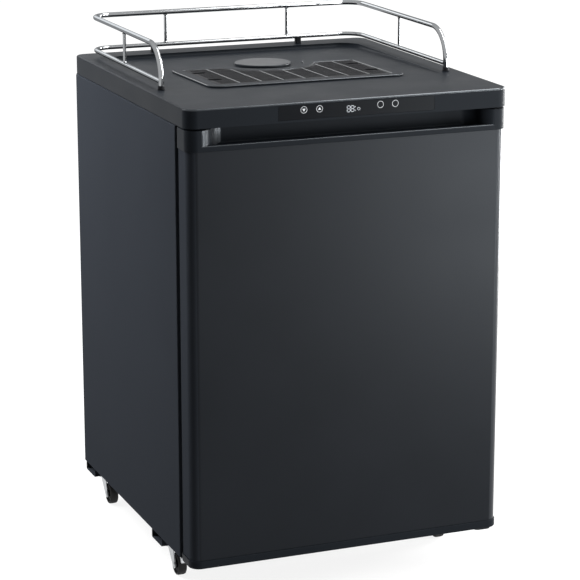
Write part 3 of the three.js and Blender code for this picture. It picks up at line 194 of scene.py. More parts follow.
def started(name, start):
    """One vertex at a point, left in edit mode: a tiny plane whose corners are merged."""
    alone()
    bpy.ops.mesh.primitive_plane_add(size=MM, location=metres(start))
    piece = settled(name)
    opened("VERT")
    bpy.ops.mesh.merge(type="CENTER")
    return piece


def pushed(start, heading, route, axis=UP, fineness=8):
    """Pushes what is selected along a route.

    A number in the route is a straight run, a list is a point to run straight to, and a tuple is
    an arc: its radius, its degrees to the left about the axis, and an axis of its own if it has one.
    The fineness is how many degrees a step of an arc takes.
    """
    spot, heading = Vector(start), Vector(heading).normalized()
    for step in route:
        if isinstance(step, tuple):
            radius, degrees = step[:2]
            about = Vector(step[2] if len(step) > 2 else axis)
            side = math.copysign(1, degrees)
            centre = spot + about.cross(heading) * radius * side
            turn = Matrix.Rotation(math.radians(degrees), 3, about)
            # With no window, spin turns the other way, so its axis is reversed
            bpy.ops.mesh.spin(
                steps=max(2, round(abs(degrees) / fineness)), angle=math.radians(abs(degrees)),
                center=metres(centre), axis=-about * side,
            )
            spot, heading = centre + turn @ (spot - centre), turn @ heading
            continue
        run = Vector(step) - spot if isinstance(step, list) else heading * step
        bpy.ops.mesh.extrude_region_move(TRANSFORM_OT_translate={"value": metres(run)})
        spot, heading = spot + run, run.normalized()


def prism(name, start, heading, route, depth, axis=UP, fineness=8):
    """A closed outline drawn from a point and back to it, filled and pulled out into a body."""
    piece = started(name, start)
    pushed(start, heading, list(route) + [list(start)], axis, fineness)
    merged()
    bpy.ops.mesh.edge_face_add()
    bpy.ops.mesh.extrude_region_move(TRANSFORM_OT_translate={"value": metres(depth)})
    merged()
    return closed(piece)


def turned(name, centre, axis, profile, sides=48):
    """A profile of radius and height pairs, spun all the way round an axis."""
    centre, axis = Vector(centre), Vector(axis)
    out = RIGHT if abs(axis.x) < 0.5 else BACK
    points = [centre + out * radius + axis * height for radius, height in profile]
    piece = started(name, points[0])
    pushed(points[0], out, [list(point) for point in points[1:]])
    bpy.ops.mesh.select_all(action="SELECT")
    bpy.ops.mesh.spin(steps=sides, angle=math.tau, center=metres(centre), axis=axis)
    merged()
    return closed(piece)


def tube(name, start, heading, radius, route, sides=24, fineness=8):
    """A bent tube: a disc pushed along straight runs and spun round bends."""
    alone()
    bpy.ops.mesh.primitive_circle_add(
        vertices=sides, radius=radius * MM, fill_type="NGON", location=metres(start),
        rotation=Vector(heading).to_track_quat("Z", "Y").to_euler(),
    )
    piece = settled(name)
    opened("FACE")
    pushed(start, heading, route, fineness=fineness)
    merged()
    return closed(piece)


def chosen(piece, kind, test):
    """Opens a piece in edit mode with the edges or the faces that pass a test selected.

    The test gets the middle, in millimetres, and the direction of an edge or the normal of a face.
    """
    alone(piece)
    opened(kind)
    bpy.ops.mesh.select_all(action="DESELECT")
    done()
    mesh = piece.data
    if kind == "FACE":
        for face in mesh.polygons:
            face.select = bool(test(face.center / MM, face.normal))
    else:
        sides = {}
        for face in mesh.polygons:
            for key in face.edge_keys:
                sides.setdefault(key, []).append(face.normal)
        for edge in mesh.edges:
            first, second = (mesh.vertices[end].co / MM for end in edge.vertices)
            # An edge that only divides a flat face stays as it is
            normals = sides[edge.key]
            bent = normals[0].dot(normals[-1]) < FLAT or len(normals) != 2
            edge.select = bent and bool(test((first + second) / 2, (second - first).normalized()))
    bpy.ops.object.mode_set(mode="EDIT")


def rounded(piece, test, radius, segments=6):
    """Rounds the edges that pass a test."""
    chosen(piece, "EDGE", test)
    bpy.ops.mesh.bevel(offset=radius * MM, segments=segments, affect="EDGES", clamp_overlap=False)
    done()
    return piece


# Tests for edges: those that stand, those that run from front to back, and those at one height

def upright(spot, along):
    return abs(along.z) > ALONG


def inward(spot, along):
    return abs(along.y) > ALONG


def level_at(height):
    return lambda spot, along: abs(spot.z - height) < TOUCH and abs(along.z) < TOUCH


def slab(name, low, high, corner, back_corner=None, segments=9):
    """A block whose upright edges are rounded, with another radius at the back where it is given."""
    piece = block(name, low, high)
    centre = (low[1] + high[1]) / 2
    rounded(piece, lambda spot, along: upright(spot, along) and spot.y < centre, corner, segments)
    return rounded(
        piece, lambda spot, along: upright(spot, along) and spot.y > high[1] - TOUCH,
        back_corner or corner, segments,
    )


def modified(piece, kind, **settings):
    """Adds a modifier with its settings and applies it."""
    alone(piece)
    modifier = piece.modifiers.new(kind.title(), kind)
    for name, value in settings.items():
        setattr(modifier, name, value)
    bpy.ops.object.modifier_apply(modifier=modifier.name)
    return piece


def combined(operation, piece, *others):
    for other in others:
        modified(piece, "BOOLEAN", object=other, operation=operation, solver="EXACT")
        removed(other)
    return piece


def cut(piece, *cutters):
    return combined("DIFFERENCE", piece, *cutters)


def welded(piece, *others):
    return combined("UNION", piece, *others)


def softened(piece, width, segments=2, angle=35):
    """Breaks every sharp edge by a small radius."""
    return modified(
        piece, "BEVEL", width=width * MM, segments=segments, limit_method="ANGLE",
        angle_limit=math.radians(angle), miter_outer="MITER_ARC",
    )


def together(name, pieces):
    """Joins pieces into one object."""
    alone(*pieces)
    bpy.ops.object.join()
    pieces[0].name = name
    return pieces[0]


def moved(piece, by):
    """Moves a piece by its mesh, so that its object stays at the origin."""
    piece.data.transform(Matrix.Translation(metres(by)))
    return piece


def swung(piece, degrees, axis, about):
    """Turns a piece by its mesh about a point."""
    centre = Matrix.Translation(metres(about))
    turn = Matrix.Rotation(math.radians(degrees), 4, Vector(axis))
    piece.data.transform(centre @ turn @ centre.inverted())
    return piece


def copied(piece, name, by=(0, 0, 0)):
    """A copy with a mesh of its own."""
    alone(piece)
    bpy.ops.object.duplicate(linked=False)
    twin = bpy.context.object
    twin.name = name
    return moved(twin, by)


def repeated(piece, count, step):
    """A row of a piece: the piece itself and its copies, as one mesh."""
    return modified(
        piece, "ARRAY", count=count, use_relative_offset=False, use_constant_offset=True,
        constant_offset_displace=metres(step),
    )


def shaded(piece, angle):
    """Shades a piece smooth, but for the edges that are sharper than an angle."""
    alone(piece)
    bpy.ops.object.shade_smooth_by_angle(angle=math.radians(angle))
    return piece


def detail(piece, node, finish=None):
    """Gives a small piece the body and slot of the node that carries it, which stays."""
    slot = SLOT_OF[node]
    piece.data.materials.clear()
    piece.data.materials.append(FINISHES[finish or SLOT_FINISH[slot]])
    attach(piece, BODY_OF[node])
    return piece


def placed(piece, node, finish=None, angle=32):
    """Gives a piece the body, the slot and the finish of the node that it stands for."""
    shaded(piece, angle)
    # Flat faces keep flat shading up to the small radii round them
    modified(piece, "WEIGHTED_NORMAL", weight=100, keep_sharp=True)
    detail(piece, node, finish)
    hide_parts(node)
    return piece


def spread(master, nodes, kind, name, angle=32):
    """Copies a master made at the first node to all of them, and names each for what it is."""
    home = middle(nodes[0])
    for node in nodes:
        placed(copied(master, node.replace(kind, name), middle(node) - home), node, angle=angle)
    removed(master)


def faced(piece, finish, wanted):
    """Gives the faces that are wanted, by their middle and normal, a finish of their own."""
    piece.data.materials.append(FINISHES[finish])
    for face in piece.data.polygons:
        if wanted(face.center / MM, face.normal):
            face.material_index = len(piece.data.materials) - 1
    return piece


def sizes_in(held):
    """The names of a group's sizes."""
    return [name for name in held.bl_rna.properties.keys() if name not in ("rna_type", "name")]


def sizes_of(context, group):
    """A group's sizes in millimetres."""
    held = getattr(context.scene, f"kegerator_{group}")
    return SimpleNamespace(**{name: getattr(held, name) / MM for name in sizes_in(held)})


# Materials

# Painted reflection tint: black surfaces mirror the room slightly blue, as a sky in it would
COOL = (0.86, 0.93, 1.0, 1.0)


def add_node(tree, kind, settings=None, links=None):
    """Adds a node, sets its inputs and properties, and links its inputs to other sockets."""
    made = tree.nodes.new(kind)
    for name, value in (settings or {}).items():
        if name in made.inputs:
            made.inputs[name].default_value = value
        else:
            setattr(made, name, value)
    for name, socket in (links or {}).items():
        tree.links.new(socket, made.inputs[name])
    return made


def new_material(name, settings):
    """A material with a Principled shader, and its tree and shader for the pattern that follows."""
    finish = bpy.data.materials.new(name)
    finish.use_nodes = True
    tree = finish.node_tree
    shader = tree.nodes["Principled BSDF"]
    for key, value in settings.items():
        shader.inputs[key].default_value = value
    return finish, tree, shader


def surface_pattern(tree, shader, grain_mm, height_mm, rough, rough_spread, patch_mm, stretch=(1, 1, 1)):
    """Fine grain as bump, and larger soft patches that make the roughness wander."""
    place = add_node(tree, "ShaderNodeTexCoord").outputs["Object"]
    turn = add_node(tree, "ShaderNodeMapping", {"Scale": stretch}, {"Vector": place})
    grain = add_node(
        tree, "ShaderNodeTexNoise", {"Scale": 1 / (grain_mm * MM), "Detail": 2.0, "Roughness": 0.55},
        {"Vector": turn.outputs["Vector"]},
    ).outputs["Fac"]
    bump = add_node(tree, "ShaderNodeBump", {"Strength": 1.0, "Distance": height_mm * MM}, {"Height": grain})
    patches = add_node(
        tree, "ShaderNodeTexNoise", {"Scale": 1 / (patch_mm * MM), "Detail": 3.0}, {"Vector": place}
    ).outputs["Fac"]
    spread_out = add_node(
        tree, "ShaderNodeMapRange",
        {"From Min": 0.3, "From Max": 0.7, "To Min": rough - rough_spread, "To Max": rough + rough_spread},
        {"Value": patches},
    )
    tree.links.new(bump.outputs["Normal"], shader.inputs["Normal"])
    tree.links.new(spread_out.outputs["Result"], shader.inputs["Roughness"])
    return grain, patches


def tinted(tree, shader, factor, low, high):
    """Mixes two near colours by a pattern, for a surface that isn't one flat colour."""
    mix = add_node(tree, "ShaderNodeMix", {"data_type": "RGBA"}, {"Factor": factor})
    mix.inputs[6].default_value = low
    mix.inputs[7].default_value = high
    tree.links.new(mix.outputs[2], shader.inputs["Base Color"])


# Each finish: what its shader is given; the size and the height of its grain in millimetres, its
# roughness, how far that wanders and the size of the patches it wanders by; and its two colours
SURFACES = {
    # Injection-moulded ABS from a spark-textured mould: fine even grain that blurs reflections.
    # The mould's grain is about 0.3 mm; it is drawn at 1.2 mm so that it shows from a step away
    "textured_abs": (
        {"IOR": 1.53, "Specular IOR Level": 0.045, "Specular Tint": COOL},
        (1.2, 0.02, 0.46, 0.03, 90), ("#121519", "#171a1e"),
    ),
    # ABS from a mould that is only stoned smooth: it catches the light more than the grain beside it
    "smooth_abs": (
        {"IOR": 1.53, "Specular IOR Level": 0.2, "Specular Tint": COOL},
        (2, 0.006, 0.34, 0.03, 90), ("#14171a", "#191c20"),
    ),
    # Glossier ABS on chosen edges, where the lamps draw bright lines: a painted highlight
    "rubbed_edge": (
        {"IOR": 1.53, "Specular Tint": COOL}, (3, 0.004, 0.25, 0.03, 40), ("#14171a", "#1a1d21")
    ),
    # Glossier ABS on the scoop's left bends: a painted highlight, a soft bright band top to bottom
    "handled_abs": (
        {"IOR": 1.53, "Specular IOR Level": 0.3, "Specular Tint": COOL},
        (3, 0.003, 0.34, 0.02, 40), ("#14171a", "#1a1d21"),
    ),
    # Enamel along the door's folds, where it draws thin over the bend and shines more than the face
    # Glossier enamel on the door's right fold, where the lamps draw a bright strip: a painted highlight
    "folded_enamel": (
        {"IOR": 1.5, "Specular IOR Level": 0.32, "Specular Tint": COOL},
        (3.5, 0.006, 0.3, 0.02, 160), ("#101215", "#14161a"),
    ),
    # Steel sheet sprayed with black enamel and baked: nearly flat, with a faint orange peel, which
    # has waves of 3 mm or so and only hundredths of a millimetre of height
    "satin_enamel": (
        {"IOR": 1.5, "Specular IOR Level": 0.11, "Specular Tint": COOL},
        (3.5, 0.006, 0.36, 0.02, 160), ("#101215", "#14161a"),
    ),
    # The door's black enamel made greyer, with hardly a shine: the grey is painted sheen on the cabinet
    # On the door's left bend the same copy takes the shine away: painted shade
    "shell_enamel": (
        {"IOR": 1.5, "Specular IOR Level": 0.003}, (2.2, 0.01, 0.65, 0.03, 160), ("#292c31", "#2e3136")
    ),
    # Polished chrome over nickel on steel tube: a mirror with the slightest wave along the tube. A
    # rail is seen along its length at a low angle, where the tint keeps it from washing out
    # The colour, darker than chrome's, is painted shade for a darker room in the rail's mirror
    "chrome_plate": (
        {"Metallic": 1.0, "Specular Tint": (0.4, 0.41, 0.42, 1.0)},
        (6, 0.004, 0.08, 0.02, 30), ("#96989a", "#a2a4a6"),
    ),
    # Smoke-tinted cast acrylic over black print, with an anti-glare coat: near black, softly glossy
    "tinted_acrylic": (
        {"IOR": 1.49, "Specular IOR Level": 0.045, "Specular Tint": COOL},
        (4, 0.001, 0.3, 0.02, 60), ("#090a0c", "#0c0d10"),
    ),
    # White screen-printing ink, thin and matt, with tiny gaps in its coverage
    "screen_ink": ({}, (0.8, 0.01, 0.5, 0.05, 6), ("#b9bcc0", "#d3d6d9")),
    # Display segments lit from behind by diodes: they glow a soft white without lighting the room
    "lit_segment": (
        {"Emission Strength": 0.4, "Emission Color": linear("#cfd6de")},
        (0.8, 0.004, 0.4, 0.05, 6), ("#9a9ea3", "#b4b8bd"),
    ),
    # Polypropylene mouldings such as feet and boxes: dull black with a coarse mould texture
    "matt_polypropylene": (
        {"IOR": 1.49, "Specular IOR Level": 0.12, "Specular Tint": COOL},
        (1.6, 0.04, 0.58, 0.05, 40), ("#121214", "#19191b"),
    ),
    # White high-impact polystyrene sheet drawn over a mould: soft gloss, slow waves
    "formed_polystyrene": ({"IOR": 1.59}, (22, 0.05, 0.32, 0.05, 120), ("#dfe1e1", "#e9eaea")),
    # Polyurethane foam set in place: yellow, with a skin of fine cells and darker streaks
    "poured_foam": ({}, (2.0, 0.5, 0.9, 0.04, 45), ("#c9b06a", "#e2d092")),
    # Pressed steel plated with bright zinc: grey metal with cloudy patches from the bath
    "zinc_plate": ({"Metallic": 1.0}, (2.5, 0.012, 0.34, 0.1, 9), ("#9b9da0", "#c4c6c8")),
    # Black rubber from a blasted mould: very dull, a little grey where it is touched
    "moulded_rubber": (
        {"IOR": 1.52, "Specular IOR Level": 0.35}, (1.4, 0.05, 0.78, 0.08, 12), ("#111112", "#1d1d1e")
    ),
    # Black stoving enamel dipped on a deep-drawn can: glossier than the cabinet, with sags
    "compressor_enamel": ({"IOR": 1.5}, (9, 0.05, 0.28, 0.06, 35), ("#0f1011", "#161718")),
    # Drawn copper pipe: warm metal, dulled in clouds by handling and heat
    "drawn_copper": ({"Metallic": 1.0}, (3, 0.01, 0.32, 0.08, 18), ("#9c5a3c", "#c87f5a")),
    # Roll-bonded aluminium sheet: fine lines along the rolling direction
    "rolled_aluminium": (
        {"Metallic": 1.0}, (1.5, 0.01, 0.36, 0.06, 50, (0.04, 1, 1)), ("#a9acae", "#c6c8ca")
    ),
}
# The finishes whose two colours follow the grain; the others' follow the patches
GRAINY = ("screen_ink", "lit_segment", "rolled_aluminium")


def solder_mask():
    """A circuit board: glossy green mask, with straight tracks every 2.5 mm showing through."""
    finish, tree, shader = new_material("solder_mask", {"IOR": 1.5})
    surface_pattern(tree, shader, 2.5, 0.01, 0.25, 0.04, 20)
    place = add_node(tree, "ShaderNodeTexCoord")
    turn = add_node(
        tree, "ShaderNodeMapping", {"Rotation": (QUARTER, 0, 0)}, {"Vector": place.outputs["Object"]}
    )
    tracks = add_node(
        tree, "ShaderNodeTexBrick",
        {"Scale": 1.0, "Brick Width": 0.011, "Row Height": 0.0025, "Mortar Size": 0.0003,
         "Color1": linear("#155c33"), "Color2": linear("#1b6b3c"), "Mortar": linear("#0d4225")},
        {"Vector": turn.outputs["Vector"]},
    )
    tree.links.new(tracks.outputs["Color"], shader.inputs["Base Color"])
    return finish


FINISHES = {}


def finishes():
    """Every finish, made once and kept by its name."""
    for name, (settings, pattern, colours) in SURFACES.items():
        finish, tree, shader = new_material(name, settings)
        grain, patches = surface_pattern(tree, shader, *pattern)
        tinted(tree, shader, grain if name in GRAINY else patches, *map(linear, colours))
        FINISHES[name] = finish
    FINISHES["solder_mask"] = solder_mask()


# The finish of each of the record's material slots
SLOT_FINISH = {
    "black_moulding": "textured_abs",
    "black_paint": "satin_enamel",
    "chrome_tube": "chrome_plate",
    "gloss_black": "tinted_acrylic",
    "dark_plastic": "matt_polypropylene",
    "white_liner": "formed_polystyrene",
    "foam": "poured_foam",
    "zinc_steel": "zinc_plate",
    "black_rubber": "moulded_rubber",
    "circuit_board": "solder_mask",
    "compressor_paint": "compressor_enamel",
    "copper_pipe": "drawn_copper",
    "bright_aluminium": "rolled_aluminium",
}


# Sizes and colours that a user would change

def number(name, description, default, **kind):
    """A number that a user can change."""
    return FloatProperty(name=name, description=description, default=default, **kind)


def length(name, description, millimetres):
    """A size that a user can change, kept in metres."""
    return number(name, description, millimetres * MM, min=0.0, unit="LENGTH", precision=4)


def power(name, description, watts):
    return number(name, description, watts, min=0.0, unit="POWER")


def colour(name, description, code):
    return FloatVectorProperty(name=name, description=description, default=linear(code)[:3], subtype="COLOR")


class KegeratorView(PropertyGroup):
    focal_pixels: number("Focal length", "Focal length in pixels of the square frame", 2315.1, min=100.0)
    yaw: number(
        "Yaw", "How far the camera looks to the right of straight on", math.radians(21.82), subtype="ANGLE"
    )
    pitch: number("Pitch", "How far the camera looks down", math.radians(14.71), subtype="ANGLE")
    place: FloatVectorProperty(
        name="Camera", description="Where the camera stands", default=(-1.5598, -3.9344, 1.5919),
        subtype="TRANSLATION", unit="LENGTH",
    )
    floor_dark: colour("Floor fibres", "Darker colour of the floor", "#666666")
    floor_pale: colour("Floor", "Paler colour of the floor", "#6e6e6e")
    near_glow: number("Near glow", "How white the floor looks near the kegerator", 0.86)
    far_glow: number("Far glow", "How white the floor looks far off", 1.0)
    room_light: number("Room light", "Strength of the light from all round", 0.15)
    key_light: power("Key light", "Large lamp from the front right and above", 100)
    rim_light: power("Rim light", "Tall lamp at the right side", 90)
    door_light: power("Door light", "Low softbox that shades the door from top to bottom", 34)
    edge_light: power("Edge light", "Narrow upright lamp that draws the door's right edge", 50)
    side_light: power("Side light", "Lamp at the back left for the cabinet's side", 90)
    top_light: power("Top light", "Long lamp overhead that draws the front edges", 75)
    back_light: power("Back light", "Lamp behind that lies on the worktop", 10)


class WorktopSizes(PropertyGroup):
    corner: length("Corner", "Radius of the worktop's corners in plan", 22)
    edge: length("Edge", "Radius along the worktop's upper edge", 3)
    wall: length("Wall", "Wall of the moulding round its hollow underside", 4.5)
    hollow: length("Hollow", "Height of the hollow under the worktop", 22)
    dish_side: length("Dish side", "From the side edge to the dish", 44.5)
    dish_front: length("Dish front", "From the front edge to where the dish begins", 149)
    dish_back: length("Dish back", "From the back edge to the dish", 55)
    dish_corner: length("Dish corner", "Radius of the dish's back corners", 40)
    dish_fillet: length("Dish fillet", "Radius where the dish's wall meets its floor", 6)
    hole: length("Tower hole", "Radius of the tower hole", 36)
    lens_corner: length("Lens corner", "Radius of the control strip's corners", 1.5)
    lens_ledge: length("Lens ledge", "Ledge that the control strip is stuck to", 3)
    gap: length("Gap", "Gap between neighbouring pieces", 0.3)
    button: length("Button", "Radius of a button", 6.4)
    ring_width: length("Print ring", "Width of the ring printed on a button", 0.75)
    digit_height: length("Digit height", "Height of the display's digits", 10.5)
    digit_width: length("Digit width", "Width of the display's digits", 5.6)
    digit_stroke: length("Digit stroke", "Width of a display segment", 0.95)
    cover_edge: length("Cover edge", "Radius along the cover's upper edge", 2)


class TraySizes(PropertyGroup):
    half_width: length("Half width", "Half the tray's width", 190)
    front: length("Front", "From the tower hole's middle to the tray's front edge", 240)
    back: length("Back", "From the tower hole's middle to the tray's back edge", 10)
    corner: length("Corner", "Radius of the tray's corners", 25)
    notch: length("Notch", "Radius of the notch round the cover", 76)
    bar: length("Bar", "Width of the tray's frame", 21)
    rim: length("Rim", "Height of the frame over the worktop", 3.5)
    ledge: length("Ledge", "Ledge that carries the grille", 3)
    ledge_height: length("Ledge height", "Height of the grille's ledge over the worktop", 0.8)
    pan: length("Pan", "Depth of the pan under the grille", 16)
    floor: length("Floor", "Thickness of the pan's floor", 2)
    play: length("Play", "Gap round the grille", 0.6)
    plate: length("Plate", "Thickness of the grille", 2.2)
    border: length("Border", "Solid border of the grille", 7)
    rib_pitch: length("Rib pitch", "From one standing rib to the next", 42)
    rib_width: length("Rib width", "Width of a standing rib", 2.5)
    rib_rise: length("Rib rise", "How far a rib stands over the grille", 0.5)
    slot_pitch: length("Slot pitch", "From one slot to the next", 6.25)
    slot: length("Slot", "Width of a slot", 3.4)
    finger_slot: length("Lifting slot", "Width of the slots that the grille is lifted by", 16)
    finger_length: length("Lifting slot length", "Length of the lifting slots", 25)


class RailSizes(PropertyGroup):
    tube: length("Top tube", "Radius of the rail's top tube", 4.75)
    low_tube: length("Low tube", "Radius of the rail's bottom tube", 4)
    post_bend: length("Post bend", "Radius of the bend from a post into the top tube", 58)
    corner_bend: length("Corner bend", "Radius of the rail's back corners", 36)
    spindle: length("Spindle", "Radius of a spindle", 3)
    weld: length("Weld", "How far the weld at a spindle's end spreads", 1.2)
    ferrule: length("Ferrule", "Radius of the ferrule at a post's foot", 6.5)


class DoorSizes(PropertyGroup):
    front_radius: length("Front radius", "Radius of the door's front edges", 20)
    back_radius: length("Back radius", "Radius of the door's back edges", 10)
    inset: length("Skin inset", "How far the steel skin is drawn in from the caps", 2)
    sheet: length("Sheet", "Thickness of the steel skin", 1.2)
    skin_return: length("Return", "Width of the skin's return at the back", 12)
    cap_edge: length("Cap edge", "Radius along the caps' edges", 1.5)
    cap_wall: length("Cap wall", "Wall of the moulded caps", 2.5)
    scoop_end: length("Scoop end", "From the door's side to the hand scoop", 23.5)
    scoop_run: length("Scoop run", "Length of the S-curve at each end of the scoop", 52)
    scoop_depth: length("Scoop depth", "Depth of the hand scoop", 36)
    lip: length("Lip", "Height of the scoop's lip over the steel skin", 10)
    lip_edge: length("Lip edge", "Radius along the lip's front edge", 2)
    lip_thickness: length("Lip thickness", "Thickness of the scoop's lip", 8)
    pocket: length("Pocket", "Depth of the finger pocket behind the lip", 5)
    hinge_side: length("Hinge side", "From the door's side to the hinge pin", 20)
    hinge_front: length("Hinge front", "From the door's front to the hinge pin", 24)
    pin: length("Pin", "Radius of the hinge pin", 4)


class CasterSizes(PropertyGroup):
    trail: length("Trail", "From the swivel axis to the wheel's axle", 18)
    wheel: length("Wheel", "Radius of a wheel", 21)
    tread: length("Tread", "Width of a wheel's tread", 16)
    hub: length("Hub", "Radius of a wheel's hub", 7)
    rim: length("Rim", "Depth of the rubber tread", 4.5)
    web: length("Web", "Thickness of a wheel's web", 9)
    axle: length("Axle", "Radius of the axle", 3)
    leg_gap: length("Leg gap", "From the middle to the inside of a fork's leg", 9.2)
    sheet: length("Sheet", "Thickness of the fork's pressed steel", 2)
    plate: length("Plate", "Thickness of the mounting plate", 2.4)
    pedal_half: length("Pedal", "Half the width of a brake pedal", 7.5)


class CabinetSizes(PropertyGroup):
    sheet: length("Sheet", "Thickness of the cabinet's steel", 1.2)
    fold: length("Fold", "Radius of the folded front edges", 2.5)
    flange: length("Flange", "Width of the flange round the door opening", 22)
    roof_corner: length("Roof corner", "Radius of the folds into the roof", 6)
    roof_hole: length("Roof hole", "Radius of the hole in the steel roof round the tower's lines", 54)
    rib_depth: length("Rib depth", "How far the back panel's stiffening panels are pressed out", 1.0)
    screw: length("Screw", "Radius of a sheet-metal screw's head", 4.2)


class InsideSizes(PropertyGroup):
    liner: length("Liner", "Wall of the white inner liner", 2)
    corner: length("Corner", "Radius of the cold space's corners", 12)
    back: length("Back", "From the worktop's back edge to the cold space", 50)
    step_front: length("Step front", "From the worktop's back edge to the step's front", 165)
    step_top: length("Step top", "Height of the step over the machine bay", 315)
    low: length("Floor", "Height of the cold space's floor", 122)
    high: length("Ceiling", "Height of the cold space's ceiling", 827)
    half: length("Half width", "Half the cold space's width", 260.5)
    fan_opening: length("Fan opening", "Radius of the opening in front of the fan", 45)
    fan_hub: length("Fan hub", "Radius of the fan's hub", 13)
    louvre_pitch: length("Louvre pitch", "From one louvre to the next", 14)
    louvre: length("Louvre", "Height of a louvre", 5)
    louvre_half: length("Louvre half width", "Half the width of a louvre", 100)


class MachineSizes(PropertyGroup):
    can: length("Can", "Radius of the compressor's can, from front to back", 53)
    foot_gap: length("Foot", "Height of a rubber foot", 7)
    plate: length("Plate", "Thickness of the compressor's base plate", 2.5)
    seam: length("Seam", "How far the can's welded seam stands out", 3)
    foot: length("Foot radius", "Radius of a rubber foot", 9)
    pipe: length("Pipe", "Radius of a refrigerant pipe", 3)
    pipe_bend: length("Pipe bend", "Radius of a pipe's bend", 16)
    pan_wall: length("Pan wall", "Wall of the evaporation pan", 2)
    gland: length("Gland", "Radius of the relay box's gland", 7)


# Where each lamp stands, its width and height, and what it points at, in metres
LAMPS = {
    "key_light": ((2.6, -2.4, 3.0), (1.6, 2.2), (0, 0, 0.45)),
    "rim_light": ((2.4, 0.5, 0.9), (0.6, 1.8), (0.3, -0.1, 0.6)),
    "door_light": ((1.25, -2.0, 0.45), (0.7, 0.9), (0.1, -0.3, 0.6)),
    "edge_light": ((2.5, -1.2, 0.9), (0.4, 1.2), (0.3, -0.3, 0.6)),
    "side_light": ((-1.4, 0.9, 1.8), (1.2, 1.0), (-0.3, 0.1, 0.7)),
    "top_light": ((1.4, -0.3, 3.4), (2.4, 0.9), (0, -0.2, 0.9)),
    "back_light": ((-0.4, 3.0, 1.9), (1.6, 0.8), (-0.1, 0.2, 0.9)),
}
# Lamps that no mirror shows: the chrome would turn white all along
UNSEEN = ("side_light",)
# The floor's side, how far it lies under the casters, and over which distances its glow rises, in metres
FLOOR_SIZE = 60
FLOOR_DROP = 0.0004
FLOOR_NEAR, FLOOR_FAR = 1.0, 2.5


# Operators

class SetStage(Operator):
    """Makes the floor, the white surroundings, the lights and the camera"""

    bl_idname = "kegerator.set_stage"
    bl_label = "Stage"

    def execute(self, context):
        view = context.scene.kegerator_view
        self.floor(view)
        self.surroundings(context, view)
        for name, (place, size, aim) in LAMPS.items():
            self.light(name, place, size, aim, getattr(view, name))
        self.camera(context, view)
        return {"FINISHED"}

    def seen_white(self, tree):
        """1 for rays from the camera, a mirror or glass, which then see a white surround."""
        path = add_node(tree, "ShaderNodeLightPath")
        seen = path.outputs["Is Camera Ray"]
        for ray in ("Is Glossy Ray", "Is Transmission Ray"):
            links = {0: seen, 1: path.outputs[ray]}
            seen = add_node(tree, "ShaderNodeMath", {"operation": "MAXIMUM"}, links).outputs[0]
        return seen

    def floor(self, view):
        """A pale seamless paper floor: it keeps the shadow and looks white, more so far from the lamps."""
        alone()
        bpy.ops.mesh.primitive_plane_add(size=FLOOR_SIZE, location=(0, 0, -FLOOR_DROP))
        sheet = bpy.context.object
        sheet.name = "floor"
        finish, tree, shader = new_material(
            "paper_floor", {"Roughness": 0.85, "Specular IOR Level": 0.1, "Emission Color": WHITE}
        )
        place = add_node(tree, "ShaderNodeTexCoord").outputs["Object"]
        fibres = add_node(tree, "ShaderNodeTexNoise", {"Scale": 400.0, "Detail": 2.0}, {"Vector": place})
        tinted(tree, shader, fibres.outputs["Fac"], (*view.floor_dark, 1), (*view.floor_pale, 1))
        away = add_node(tree, "ShaderNodeVectorMath", {"operation": "LENGTH"}, {0: place})
        glow = add_node(
            tree, "ShaderNodeMapRange",
            {"From Min": FLOOR_NEAR, "From Max": FLOOR_FAR,
             "To Min": view.near_glow, "To Max": view.far_glow},
            {"Value": away.outputs["Value"]},
        )
        links = {0: self.seen_white(tree), 1: glow.outputs["Result"]}
        seen = add_node(tree, "ShaderNodeMath", {"operation": "MULTIPLY"}, links)
        tree.links.new(seen.outputs[0], shader.inputs["Emission Strength"])
        sheet.data.materials.append(finish)

    def surroundings(self, context, view):
        world = bpy.data.worlds.new("surroundings")
        context.scene.world = world
        world.use_nodes = True
        tree = world.node_tree
        tree.nodes.clear()
        dim, white = (
            add_node(tree, "ShaderNodeBackground", {"Color": WHITE, "Strength": strength})
            for strength in (view.room_light, 1.0)
        )
        links = {0: self.seen_white(tree), 1: dim.outputs[0], 2: white.outputs[0]}
        mix = add_node(tree, "ShaderNodeMixShader", {}, links)
        add_node(tree, "ShaderNodeOutputWorld", {}, {"Surface": mix.outputs[0]})

    def light(self, name, place, size, aim, watts):
        bpy.ops.object.light_add(type="AREA", location=place)
        lamp = bpy.context.object
        lamp.name = name
        lamp.data.shape = "RECTANGLE"
        lamp.data.size, lamp.data.size_y = size
        lamp.data.energy = watts
        lamp.visible_glossy = name not in UNSEEN
        lamp.rotation_euler = (Vector(aim) - Vector(place)).to_track_quat("-Z", "Y").to_euler()

    def camera(self, context, view):
        bpy.ops.object.camera_add(location=view.place, rotation=(QUARTER - view.pitch, 0, -view.yaw))
        camera = bpy.context.object
        camera.name = "photograph_view"
        camera.data.sensor_width = SENSOR
        camera.data.lens = view.focal_pixels / PIXELS * SENSOR
        context.scene.camera = camera
        context.scene.view_settings.view_transform = "Standard"


class FinishFrame(Operator):
    """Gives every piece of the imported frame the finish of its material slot"""

    bl_idname = "kegerator.finish_frame"
    bl_label = "Frame finishes"

    def execute(self, context):
        finishes()
        for name, node in frame["nodes"].items():
            if not node.material_slots:
                raise RuntimeError(f"{name} has no material slot")
            for place in node.material_slots:
                place.material = FINISHES[SLOT_FINISH[SLOT_OF[name]]]
        return {"FINISHED"}


def deck_place(sizes):
    """Where the dish's sloping floor lies: its origin is on the tower hole's axis."""
    low, high = corners("worktop")
    tilt = next(joint["axis"] for joint in RECORD["behaviour"]["joints"] if joint["name"] == "cover_lift")
    slope = math.atan2(tilt[1], tilt[2])
    hole_y = middle("tower_hole_sleeve").y
    drop = math.tan(slope) * (hole_y - low.y - sizes.dish_front)
    return Matrix.Translation(metres((0, hole_y, high.z - drop))) @ Matrix.Rotation(-slope, 4, "X")


def on_deck(piece, sizes):
    piece.data.transform(deck_place(sizes))
    return piece


